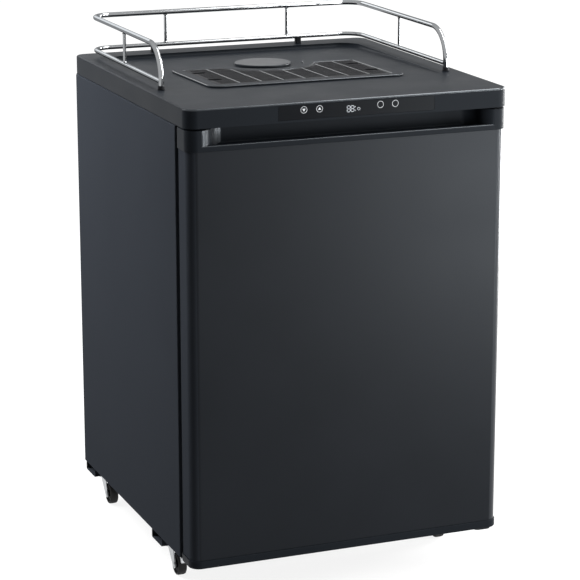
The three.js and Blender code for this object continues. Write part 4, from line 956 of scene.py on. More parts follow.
def tray_outline(name, tray, inset, low, high):
    """The tray's plan drawn in by an inset, with the notch that goes round the cover."""
    half, corner = tray.half_width - inset, max(tray.corner - inset, tray.ledge)
    notch, back = tray.notch + inset, -tray.back - inset
    # The notch's arc meets the back edge where both are as far from the tower hole
    reach = math.sqrt(notch * notch - back * back)
    swing = math.degrees(math.atan2(reach, -back))
    return prism(
        name, (reach, back, low), RIGHT,
        [half - corner - reach, (corner, -90), tray.front - inset + back - 2 * corner, (corner, -90),
         2 * (half - corner), (corner, -90), tray.front - inset + back - 2 * corner, (corner, -90),
         [-reach, back, low]] + notch_arc(notch, swing, low),
        UP * (high - low),
    )


def notch_arc(radius, swing, low):
    """Points along the notch from its left end round the front of the cover to its right end."""
    steps = 24
    angles = [math.radians(swing * (2 * step / steps - 1)) for step in range(1, steps)]
    return [[radius * math.sin(angle), -radius * math.cos(angle), low] for angle in angles]


def sloping(normal):
    """Tells the faces of a rounded upper edge from those that lie or stand."""
    return 0.1 < normal.z < 0.97


class BuildWorktop(Operator):
    """Moulds the worktop with its dish, its tower hole and the seat of the control strip"""

    bl_idname = "kegerator.build_worktop"
    bl_label = "Worktop"

    def execute(self, context):
        sizes, tray = sizes_of(context, "worktop"), sizes_of(context, "tray")
        low, high = corners("worktop")
        top = slab("worktop_moulding", low, high, sizes.corner, segments=12)
        rounded(top, level_at(high.z), sizes.edge, 5)
        wall = Vector((sizes.wall, sizes.wall, 0))
        pocket = slab(
            "pocket", low + wall - UP * OVERRUN, high - wall - UP * (high.z - low.z - sizes.hollow),
            sizes.corner - sizes.wall,
        )
        cut(top, pocket, self.dish(low, high, sizes), self.tower_hole(high, sizes))
        lining = tray.bar - tray.ledge
        cut(top, on_deck(tray_outline("tray_hole", tray, lining, low.z - high.z, OVERRUN), sizes))
        cut(top, *self.strip_seat(sizes))
        placed(top, "worktop", angle=28)
        # The front upper edge's rounding takes the glossier ABS: a painted highlight line
        faced(
            top, "rubbed_edge", lambda spot, normal: spot.z > high.z - sizes.edge and sloping(normal)
            and normal.y < -0.1 and spot.y < low.y + sizes.corner,
        )
        return {"FINISHED"}

    def dish(self, low, high, sizes):
        """The dish's floor slopes down to the back, so it runs out to nothing at the front."""
        hole_y = middle("tower_hole_sleeve").y
        front = low.y + sizes.dish_front - hole_y - OVERRUN
        cutter = block(
            "dish", (low.x + sizes.dish_side, front, 0),
            (high.x - sizes.dish_side, high.y - sizes.dish_back - hole_y, 3 * OVERRUN),
        )
        rounded(cutter, lambda spot, along: upright(spot, along) and spot.y > 0, sizes.dish_corner, 14)
        floor_edge = level_at(0)
        rounded(
            cutter, lambda spot, along: floor_edge(spot, along) and spot.y > front + 1, sizes.dish_fillet, 5
        )
        return on_deck(cutter, sizes)

    def tower_hole(self, high, sizes):
        centre = middle("tower_hole_sleeve")
        start = shifted(centre, z=high.z - sizes.hollow - 2 * OVERRUN)
        return rod("tower_hole", start, start + UP * (sizes.hollow + 3 * OVERRUN), sizes.hole, 64)

    def strip_seat(self, sizes):
        """A shallow seat for the control strip, and the opening behind it for the board."""
        lens_low, lens_high = corners("control_lens")
        gap = Vector((sizes.gap, 0, sizes.gap))
        seat = block("seat", lens_low - gap - BACK * OVERRUN, lens_high + gap + BACK * sizes.gap)
        rounded(seat, inward, sizes.lens_corner, 4)
        ledge = Vector((sizes.lens_ledge, 0, sizes.lens_ledge))
        board_back = corners("control_board")[1].y + 2 * OVERRUN
        window = block(
            "window", lens_low + ledge,
            (lens_high.x - ledge.x, board_back, lens_high.z - ledge.z),
        )
        return seat, window


class BuildControls(Operator):
    """Makes the control strip: its lens, its buttons, the prints round them and the display"""

    bl_idname = "kegerator.build_controls"
    bl_label = "Control strip"

    buttons = ("button_cooler", "button_warmer", "button_units", "button_chill")
    # How far the print and the display's figures stand out
    thickness = 0.06

    def execute(self, context):
        sizes = sizes_of(context, "worktop")
        low, high = corners("control_lens")
        lens = block("control_strip_lens", low, high)
        rounded(lens, inward, sizes.lens_corner, 5)
        spots = {name: middle(name) for name in self.buttons}
        for spot in spots.values():
            front = shifted(spot, y=low.y)
            cut(lens, rod("hole", front - BACK * OVERRUN, front + BACK * OVERRUN, sizes.button + sizes.gap))
        placed(softened(lens, sizes.gap / 2, 2), "control_lens")
        self.caps(spots, sizes)
        self.prints(spots, low.y, sizes)
        self.display(low.y, (low.z + high.z) / 2, sizes)
        return {"FINISHED"}

    def caps(self, spots, sizes):
        """One button, with its guide flange and its stem, copied to the four places."""
        first = self.buttons[0]
        low, high = corners(first)
        depth = high.y - low.y
        radius, edge, flange = sizes.button, sizes.gap, 3 * sizes.gap
        skirt = 7 * sizes.gap
        profile = [
            (0, 0), (radius - edge, 0), (radius, edge), (radius, skirt), (radius + flange, skirt),
            (radius + flange, skirt + flange), (radius / 2, skirt + flange), (radius / 2, depth), (0, depth),
        ]
        master = turned("button_cap", shifted(spots[first], y=low.y), BACK, profile)
        spread(master, self.buttons, "button", "cap_button")

    def prints(self, spots, front, sizes):
        """A white ring along each button's rim, and a small triangle on the first two."""
        outer = sizes.button - sizes.gap - self.thickness
        inner = outer - sizes.ring_width
        first = self.buttons[0]
        profile = [(inner, 0), (outer, 0), (outer, self.thickness), (inner, self.thickness), (inner, 0)]
        ring = turned("print_ring", shifted(spots[first], y=front - self.thickness), BACK, profile, 64)
        for name in self.buttons:
            detail(copied(ring, f"ring_{name}", spots[name] - spots[first]), name, "screen_ink")
        removed(ring)
        wide, tall = sizes.button * 0.62 / 1.3, sizes.button * 0.62 * 1.3
        for name, turn in ((self.buttons[0], 180), (self.buttons[1], 0)):
            tip = shifted(spots[name] + UP * sizes.button / 2, y=front - self.thickness)
            feet = [[tip.x + side * wide, tip.y, tip.z - tall] for side in (1, -1)]
            mark = prism(f"mark_{name}", tip, RIGHT, feet, BACK * self.thickness)
            if turn:
                swung(mark, turn, BACK, spots[name])
            detail(mark, name, "screen_ink")

    def display(self, front, height, sizes):
        """Two seven-segment digits, two dots and a small ring that light up behind the strip."""
        centre = middle("control_lens").x - 2 * sizes.button
        gap = sizes.digit_stroke * 1.6
        shift = (sizes.digit_width + gap) / 2
        lit = [self.digit(centre + place * shift, front, height, sizes) for place in (-1, 1)]
        right = centre + sizes.digit_width + gap * 2.2
        dot = sizes.digit_stroke * 0.7
        for rise in (-1, 1):
            spot = Vector((right, front, height + rise * sizes.digit_height / 3.4))
            lit.append(rod("dot", spot - BACK * self.thickness, spot, dot, 16))
        ring_radius = sizes.digit_height / 4
        spot = Vector((right + 2.4 * ring_radius, front - self.thickness, height - sizes.digit_stroke))
        inner = ring_radius - sizes.digit_stroke * 0.6
        lit.append(turned("ring", spot, BACK, [
            (inner, 0), (ring_radius, 0), (ring_radius, self.thickness), (inner, self.thickness), (inner, 0),
        ], 32))
        detail(together("display_figures", lit), "control_lens", "lit_segment")

    def digit(self, x, front, height, sizes):
        """All seven segments: three lie down and four stand, each a bar with pointed ends."""
        half, tall, stroke = sizes.digit_width / 2, sizes.digit_height / 2, sizes.digit_stroke / 2
        parts = []
        for rise in (-tall, 0, tall):
            parts.append(self.segment((x, front, height + rise), RIGHT, UP, half - stroke * 1.2, stroke))
        for side in (-half, half):
            for rise in (-tall / 2, tall / 2):
                parts.append(self.segment(
                    (x + side, front, height + rise), UP, RIGHT, tall / 2 - stroke * 1.2, stroke,
                ))
        return together("digit", parts)

    def segment(self, spot, along, across, reach, stroke):
        spot = Vector(spot) - BACK * self.thickness
        tip, blunt, side = along * reach, along * (reach - stroke), across * stroke
        points = [
            spot - blunt + side, spot + blunt + side, spot + tip, spot + blunt - side, spot - blunt - side
        ]
        return prism("segment", spot - tip, along, [list(point) for point in points], BACK * self.thickness)


class BuildCover(Operator):
    """Makes the disc that covers the tower hole, with the spigot that centres it"""

    bl_idname = "kegerator.build_cover"
    bl_label = "Tower hole cover"

    def execute(self, context):
        sizes = sizes_of(context, "worktop")
        low, high = corners("tower_hole_cover")
        radius = (high.x - low.x) / 2
        thick, skin, spigot, reach = 5.5, 3, sizes.hole - 2, 12
        top, edge = sizes.gap + thick, sizes.cover_edge
        # The top is a shallow dome that ends in a quarter round
        rim = [
            (radius - edge + edge * math.sin(turn), top - 0.5 - edge + edge * math.cos(turn))
            for turn in (QUARTER * step / 6 for step in range(6, -1, -1))
        ]
        profile = [
            (0, top - skin), (spigot - 2, top - skin), (spigot - 2, -reach), (spigot - 0.5, -reach),
            (spigot, 0.5 - reach), (spigot, sizes.gap), (radius - 0.4, sizes.gap), (radius, sizes.gap + 0.4),
        ] + rim + [(radius * 0.85, top - 0.3), (radius * 0.6, top - 0.1), (0, top)]
        cover = on_deck(turned("cover_disc", (0, 0, 0), UP, profile, 96), sizes)
        placed(cover, "tower_hole_cover", finish="smooth_abs", angle=30)
        return {"FINISHED"}


class BuildTray(Operator):
    """Makes the drip tray with its frame, and the slotted grille that lies in it"""

    bl_idname = "kegerator.build_tray"
    bl_label = "Drip tray and grille"

    # The lifting slots: the side, and how far in front of the tower hole's middle
    fingers = tuple((side, reach) for side in (-1, 1) for reach in (75, 160))

    def execute(self, context):
        sizes, tray = sizes_of(context, "worktop"), sizes_of(context, "tray")
        rim_top = sizes.gap + tray.rim
        body = tray_outline("tray_pan", tray, 0, sizes.gap, rim_top)
        rounded(body, level_at(rim_top), 1.6, 4)
        welded(body, tray_outline("pan", tray, tray.bar - tray.ledge / 2, -tray.pan, tray.ledge_height))
        cut(body, tray_outline("seat", tray, tray.bar, tray.ledge_height, rim_top + OVERRUN))
        # The frame dips towards the grille
        inner = tray.half_width - tray.bar
        rounded(
            body, lambda spot, along: level_at(rim_top)(spot, along) and abs(spot.x) <= inner + 0.1
            and -tray.front + tray.bar - 0.1 <= spot.y <= -tray.back - tray.bar + 0.1
            and spot.xy.length >= tray.notch + tray.bar - 0.3, 2, 4,
        )
        hollow = tray_outline(
            "hollow", tray, tray.bar + tray.ledge, tray.floor - tray.pan, rim_top + OVERRUN
        )
        placed(on_deck(cut(body, hollow), sizes), "drip_tray", angle=30)
        grille_low = corners("drip_grille")[0].z
        # The frame's sloping edge faces take the glossier ABS: a painted highlight
        faced(body, "rubbed_edge", lambda spot, normal: sloping(normal) and spot.z > grille_low)
        grille = outward(on_deck(self.grille(sizes, tray), sizes))
        placed(grille, "drip_grille", finish="matt_polypropylene", angle=25)
        # The ribs take the glossier ABS: a painted highlight that draws them as bright lines
        ribs = detail(outward(on_deck(self.ribs(sizes, tray), sizes)), "drip_grille", "rubbed_edge")
        ribs.name = "grille_ribs"
        return {"FINISHED"}

    def grille(self, sizes, tray):
        low = tray.ledge_height + sizes.gap
        high = low + tray.plate
        edge = tray.bar + tray.play
        plate = tray_outline("grille_plate", tray, edge, low, high)
        rounded(plate, level_at(high), 0.6, 2)
        return cut(plate, self.slots(tray, low, high), self.finger_slots(tray, low, high))

    def ribs(self, sizes, tray):
        """Seven ribs stand on the grille from front to back."""
        high = tray.ledge_height + sizes.gap + tray.plate
        ribs = []
        for place in range(-3, 4):
            x, half = place * tray.rib_pitch, tray.rib_width / 2
            rib = block("rib", (x - half, -tray.front, high), (x + half, 0, high + tray.rib_rise))
            ribs.append(rounded(rib, level_at(high + tray.rib_rise), tray.rib_rise * 0.8, 3))
        ribs = together("ribs", ribs)
        border = tray.bar + tray.play + tray.rib_width
        field = tray_outline("field", tray, border, high - OVERRUN, high + OVERRUN)
        combined("INTERSECT", ribs, field)
        return shaded(ribs, 40)

    def slots(self, tray, low, high):
        """One slot, repeated along the bay and then from bay to bay, and trimmed to the border."""
        front = -tray.front + tray.bar + tray.play + tray.border
        rows = int((tray.front - tray.back - 2 * tray.bar) / tray.slot_pitch)
        half = (tray.rib_pitch - tray.rib_width) / 2
        left = -3.5 * tray.rib_pitch
        slot = block(
            "slot", (left - half, front, low - OVERRUN), (left + half, front + tray.slot, high + OVERRUN)
        )
        repeated(slot, rows, (0, tray.slot_pitch, 0))
        repeated(slot, 8, (tray.rib_pitch, 0, 0))
        keep, reach_x = tray.finger_slot / 2 + tray.rib_width, tray.finger_length / 2 + tray.rib_width
        for side, reach in self.fingers:
            x = side * (tray.half_width - tray.bar - tray.finger_length / 2)
            cut(slot, block(
                "guard", (x - reach_x, -reach - keep, low - 2 * OVERRUN),
                (x + reach_x, -reach + keep, high + 2 * OVERRUN),
            ))
        border = tray.bar + tray.play + tray.border
        field = tray_outline("field", tray, border, low - 2 * OVERRUN, high + 2 * OVERRUN)
        return combined("INTERSECT", slot, field)

    def finger_slots(self, tray, low, high):
        edge = tray.half_width - tray.bar - tray.play - tray.rib_width
        half, cutters = tray.finger_slot / 2, []
        for side, reach in self.fingers:
            left, right = sorted((side * edge, side * (edge - tray.finger_length)))
            cutters.append(block(
                "finger", (left, -reach - half, low - OVERRUN), (right, -reach + half, high + OVERRUN)
            ))
        return together("fingers", cutters)


# The play between the rail's tubes and the feet round them
FIT = 0.25


class BuildRail(Operator):
    """Bends the chrome guard rail, welds its spindles in and stands it on its feet"""

    bl_idname = "kegerator.build_rail"
    bl_label = "Guard rail"

    def execute(self, context):
        sizes = sizes_of(context, "rail")
        low, high = corners("guard_rail_top")
        half, bend, corner = high.x - sizes.tube, sizes.post_bend, sizes.corner_bend
        front, back = low.y + sizes.tube, high.y - sizes.tube
        rise = high.z - sizes.tube - low.z - bend
        side = back - front - bend - corner
        top = tube(
            "rail_top", (-half, front, low.z), UP, sizes.tube,
            [rise, (bend, 90, -RIGHT), side, (corner, 90, -UP), 2 * (half - corner),
             (corner, 90, -UP), side, (bend, 90, RIGHT), rise], sides=28, fineness=6,
        )
        placed(top, "guard_rail_top", angle=40)
        low, high = corners("guard_rail_bottom")
        half, height = high.x - sizes.low_tube, (low.z + high.z) / 2
        side = high.y - sizes.low_tube - low.y - corner
        bottom = tube(
            "rail_bottom", (-half, low.y, height), BACK, sizes.low_tube,
            [side, (corner, 90, -UP), 2 * (half - corner), (corner, 90, -UP), side], sides=24, fineness=6,
        )
        placed(bottom, "guard_rail_bottom", angle=40)
        self.spindles(sizes)
        self.front_feet(sizes)
        self.back_feet(sizes)
        return {"FINISHED"}

    def spindles(self, sizes):
        """One spindle with a small weld fillet at each end, copied to its four places."""
        nodes = [f"rail_spindle_{place}" for place in ("left", "right", "back_left", "back_right")]
        low, high = corners(nodes[0])
        start, tall, weld = shifted(middle(nodes[0]), z=low.z), high.z - low.z, sizes.weld
        wide = sizes.spindle + weld
        master = turned("spindle", start, UP, [
            (0, 0), (wide, 0), (sizes.spindle + weld / 3, weld / 2), (sizes.spindle, weld * 1.5),
            (sizes.spindle, tall - weld * 1.5), (sizes.spindle + weld / 3, tall - weld / 2),
            (wide, tall), (0, tall),
        ], 24)
        spread(master, nodes, "rail_", "", angle=50)

    def front_feet(self, sizes):
        """A black ferrule round each post's end."""
        nodes = ("rail_foot_front_left", "rail_foot_front_right")
        low, high = corners(nodes[0])
        tall, bore, wide = high.z - low.z, sizes.tube + FIT, sizes.ferrule
        master = turned("ferrule", shifted(middle(nodes[0]), z=low.z), UP, [
            (0, 0), (wide - 0.4, 0), (wide, 0.4), (wide, 1.6), (wide - 0.5, 2.2), (wide - 0.8, tall - 0.8),
            (wide - 1.1, tall), (bore, tall), (bore, 2), (0, 2),
        ], 40)
        spread(master, nodes, "rail_foot", "ferrule", angle=40)

    def back_feet(self, sizes):
        """A black block under the bottom tube, with a saddle for it and rounded corners."""
        nodes = ("rail_foot_back_left", "rail_foot_back_right")
        low, high = corners(nodes[0])
        master = slab("saddle", low, high, 1.8, segments=4)
        saddle = shifted(high, x=low.x - OVERRUN, y=middle(nodes[0]).y)
        cut(master, rod("tube_way", saddle, saddle + RIGHT * 4 * OVERRUN, sizes.low_tube + FIT, 32))
        spread(softened(master, 0.4), nodes, "rail_foot", "saddle", angle=40)


def door_plan(name, sizes, low, high, inset):
    """The door's plan pulled up into a body, drawn in by an inset."""
    left, right = corners("door_top_cap")
    step = Vector((inset, inset, 0))
    return slab(
        name, Vector((left.x, left.y, low)) + step, Vector((right.x, right.y, high)) - step,
        sizes.front_radius - inset, sizes.back_radius - inset, segments=12,
    )


def hinge_axis(sizes):
    left, right = corners("door_top_cap")
    return Vector((right.x - sizes.hinge_side, left.y + sizes.hinge_front, 0))


class BuildDoorSkin(Operator):
    """Folds the door's painted steel skin, with its rounded front edges and returns at the back"""

    bl_idname = "kegerator.build_door_skin"
    bl_label = "Door skin"

    def execute(self, context):
        sizes = sizes_of(context, "door")
        low, high = corners("door_skin")
        skin = door_plan("door_steel", sizes, low.z, high.z, sizes.inset)
        inside = door_plan("inside", sizes, low.z - OVERRUN, high.z + OVERRUN, sizes.inset + sizes.sheet)
        edge = Vector((sizes.skin_return, 0, 0))
        back_opening = block(
            "back_opening", Vector((low.x, (low.y + high.y) / 2, low.z - 2 * OVERRUN)) + edge,
            Vector((high.x, high.y + OVERRUN, high.z + 2 * OVERRUN)) - edge,
        )
        cut(skin, inside, back_opening)
        placed(skin, "door_skin", angle=30)
        bend = sizes.front_radius
        # The right fold takes the glossier enamel: a painted highlight strip
        faced(skin, "folded_enamel", lambda spot, normal: normal.x > 0.1 and spot.x > high.x - bend)
        # The left bend takes the dull grey enamel that hardly shines: painted shade
        faced(skin, "shell_enamel", lambda spot, normal: normal.x < -0.2 and spot.x < low.x + bend)
        return {"FINISHED"}


class BuildDoorCaps(Operator):
    """Moulds the door's top cap with its full-width hand scoop, and the bottom cap"""

    bl_idname = "kegerator.build_door_caps"
    bl_label = "Door caps"

    def execute(self, context):
        sizes = sizes_of(context, "door")
        low, high = corners("door_top_cap")
        cap = door_plan("door_cap_top", sizes, low.z, high.z, 0)
        rounded(cap, level_at(high.z), sizes.cap_edge, 4)
        rounded(cap, level_at(low.z), sizes.cap_edge / 2, 3)
        inner = door_plan("inner", sizes, low.z - OVERRUN, high.z - sizes.cap_wall, sizes.cap_wall)
        cut(inner, self.scoop(sizes, low, high, sizes.cap_wall))
        cut(cap, self.scoop(sizes, low, high, 0), inner)
        boss_low = high.z - 20 - 2 * sizes.cap_wall
        self.hinge_boss(cap, sizes, boss_low, high.z - sizes.cap_wall / 2, high.z + OVERRUN)
        placed(cap, "door_top_cap", angle=38)
        lip_low = low.z + sizes.lip - sizes.lip_edge
        # The lip's rounded front edge takes the glossier ABS: a painted highlight line
        faced(
            cap, "rubbed_edge", lambda spot, normal: lip_low < spot.z < high.z - 3 and sloping(normal)
            and normal.y < -0.1 and spot.y < low.y + sizes.lip_thickness,
        )
        # The S-curve at the scoop's left end takes the glossier ABS: a painted highlight
        faced(
            cap, "handled_abs", lambda spot, normal: spot.z > lip_low and abs(normal.z) < 0.1
            and 0.12 < normal.x < 0.97 and spot.x < 0 and spot.y < low.y + sizes.scoop_depth,
        )
        low, high = corners("door_bottom_cap")
        foot = door_plan("door_cap_bottom", sizes, low.z, high.z, 0)
        rounded(foot, level_at(low.z), 2 * sizes.cap_edge, 5)
        rounded(foot, level_at(high.z), sizes.cap_edge / 2, 3)
        cut(foot, door_plan("inner", sizes, low.z + sizes.cap_wall, high.z + OVERRUN, sizes.cap_wall))
        self.hinge_boss(foot, sizes, low.z + sizes.cap_wall / 2, high.z - sizes.cap_edge, low.z - OVERRUN)
        placed(foot, "door_bottom_cap", angle=38)
        return {"FINISHED"}

    def scoop(self, sizes, low, high, growth):
        """An S-curve at each end leads into a straight back wall; in section it dips behind a round lip."""
        run, depth = sizes.scoop_run, sizes.scoop_depth + growth
        # Two equal arcs turn in and back: their angle and radius follow from the run and the depth
        swing = 2 * math.degrees(math.atan2(depth, run))
        bend = run / 2 / math.sin(math.radians(swing))
        end = high.x - sizes.scoop_end + growth
        base, top = low.z - OVERRUN, high.z + OVERRUN
        plan = prism(
            "scoop_plan", (-end, low.y, base), RIGHT,
            [(bend, swing), (bend, -swing), 2 * (end - run), (bend, -swing), (bend, swing),
             [end, low.y - 2 * OVERRUN, base], [-end, low.y - 2 * OVERRUN, base]],
            UP * (top - base), fineness=6,
        )
        lip_top, lip_back = low.z + sizes.lip - growth, low.y + sizes.lip_thickness - growth
        # The lip falls into the pocket over two arcs of a sixth of a turn each
        fall, edge = sizes.pocket, sizes.lip_edge
        left, front, back = low.x - OVERRUN, low.y - 3 * OVERRUN, low.y + depth
        section = prism(
            "scoop_section", (left, front, lip_top - edge), BACK,
            [3 * OVERRUN, [left, low.y, lip_top - 0.98 * edge], (edge, -90), lip_back - low.y - edge,
             (fall, -60), (fall, 60), [left, back - fall, lip_top - fall], (fall, 90),
             [left, back, top + OVERRUN], [left, front, top + OVERRUN]],
            RIGHT * (high.x - low.x + 2 * OVERRUN), axis=RIGHT, fineness=10,
        )
        return combined("INTERSECT", plan, section)

    def hinge_boss(self, cap, sizes, low, high, mouth):
        """A boss inside the cap for the hinge pin; the bore opens at the cap's face."""
        axis = hinge_axis(sizes)
        welded(cap, rod("boss", axis + UP * low, axis + UP * high, 2 * sizes.pin, 32))
        blind = low + sizes.cap_wall if mouth > high else high + OVERRUN
        cut(cap, rod("bore", axis + UP * blind, axis + UP * mouth, sizes.pin + 0.3, 32))


class BuildHinges(Operator):
    """Makes the two hinge brackets: a plate with a pin over the door, and a stepped strap below"""

    bl_idname = "kegerator.build_hinges"
    bl_label = "Hinge brackets"

    def execute(self, context):
        sizes = sizes_of(context, "door")
        axis = hinge_axis(sizes)
        low, high = corners("hinge_bracket_top")
        sheet = 3
        plate = slab("plate", shifted(low, z=high.z - sheet), high, 6, segments=5)
        self.screw_holes(plate, high, sheet)
        pin = rod("pin", axis + UP * low.z, axis + UP * (high.z - sheet / 2), sizes.pin, 32)
        rounded(pin, level_at(low.z), 1, 3)
        placed(softened(welded(plate, pin), 0.3, 2), "hinge_bracket_top")
        self.bottom(sizes, axis, sheet)
        return {"FINISHED"}

    # How far the screws are from a bracket's back edge
    screws = (12, 32)

    def screw_holes(self, plate, high, sheet):
        for reach in self.screws:
            spot = Vector((high.x - 18, high.y - reach, high.z))
            cut(plate, rod("screw_hole", spot - UP * (sheet + OVERRUN), spot + UP * OVERRUN, 2.6, 20))

    def bottom(self, sizes, axis, sheet):
        """The strap is screwed under the base and steps down to pass below the door."""
        low, high = corners("hinge_bracket_bottom")
        head = 3
        step_low, seat = low.z + head, high.z - sheet
        bend, joggle = corners("cabinet_shell")[0].y - sheet, seat - step_low
        strap = prism(
            "strap", (low.x, low.y, step_low), BACK,
            [[low.x, y, z] for y, z in (
                (bend, step_low), (bend + joggle, seat), (high.y, seat), (high.y, high.z),
                (bend + joggle - sheet / 2, high.z), (bend - sheet / 2, step_low + sheet),
                (low.y, step_low + sheet),
            )],
            RIGHT * (high.x - low.x), axis=RIGHT,
        )
        rounded(strap, lambda spot, along: upright(spot, along) and spot.y < low.y + 1, 8, 6)
        for reach in self.screws:
            spot = Vector((axis.x - 2, high.y - reach, seat))
            bolt = turned("bolt", spot - UP * 3.2, UP, [(0, 0), (3.6, 0), (4.6, 1), (4.6, 3.4), (0, 3.4)], 6)
            welded(strap, bolt)
        pin = rod("pin", axis + UP * step_low, axis + UP * high.z, sizes.pin, 32)
        nut = turned("pin_head", axis + UP * low.z, UP, [
            (0, 0.6), (2.6, 0.6), (3, 0), (4.6, 0), (5.6, 0.8), (6, 1.6), (6, head + 0.3), (0, head + 0.3),
        ], 32)
        welded(strap, pin, nut)
        placed(softened(strap, 0.3, 2), "hinge_bracket_bottom")


class BuildDoorInside(Operator):
    """Forms the door's white inner panel with its raised dyke, and lays the bellows gasket"""

    bl_idname = "kegerator.build_door_inside"
    bl_label = "Door liner and gasket"

    def execute(self, context):
        low, high = corners("door_liner")
        sheet, wide, wall, corner, border = 1.5, 26, 2, 20, 58
        reach = corners("door_top_cap")[1].x - border
        panel = block("panel", low, (high.x, low.y + sheet, high.z))
        rounded(panel, inward, 4, 5)
        base, top = corners("door_bottom_cap")[0].z + border, corners("door_top_cap")[1].z - border
        outer = self.ring("dyke", reach, base, top, 0, wide / 2, low.y, high.y, corner)
        rounded(outer, lambda spot, along: abs(spot.y - high.y) < TOUCH and abs(along.y) < TOUCH, 4, 5)
        hollow = self.ring(
            "dyke_hollow", reach, base, top, wall, wide / 2 - wall, low.y - OVERRUN, high.y - wall, corner
        )
        cut(welded(panel, outer), hollow)
        placed(panel, "door_liner", angle=35)
        # The flange's rim is sealed with black rubber
        seal = 5
        faced(
            panel, "moulded_rubber", lambda spot, normal: abs(normal.y) < 0.9
            and max(abs(spot.x) - high.x, low.z - spot.z, spot.z - high.z) > -seal,
        )
        self.gasket()
        return {"FINISHED"}

    def ring(self, name, reach, base, top, inset, inner, front, back, corner):
        """A closed rectangular ring with rounded corners that stands on the door's back."""
        body = self.frame(name, reach, base, top, inset, front, back, corner)
        inside = self.frame("inner", reach, base, top, inner, front - OVERRUN, back + OVERRUN, corner)
        return cut(body, inside)

    def frame(self, name, reach, base, top, inset, front, back, corner):
        body = block(name, (-reach + inset, front, base + inset), (reach - inset, back, top - inset))
        return rounded(body, inward, max(corner - inset, 3), 8)

    def gasket(self):
        """A soft bellows with a magnet strip in its crown: two folds and a groove along the middle."""
        low, high = corners("door_gasket")
        wide, corner, groove, deep = 14, 8, 0.8, 0.9
        seal = self.ring("gasket", high.x, low.z, high.z, 0, wide, low.y, high.y, corner)
        for lane in (3.5, 10.5):
            cut(seal, self.ring(
                "groove", high.x, low.z, high.z, lane - groove, lane + groove, high.y - deep,
                high.y + OVERRUN, corner,
            ))
        placed(softened(seal, 0.4), "door_gasket", angle=40)


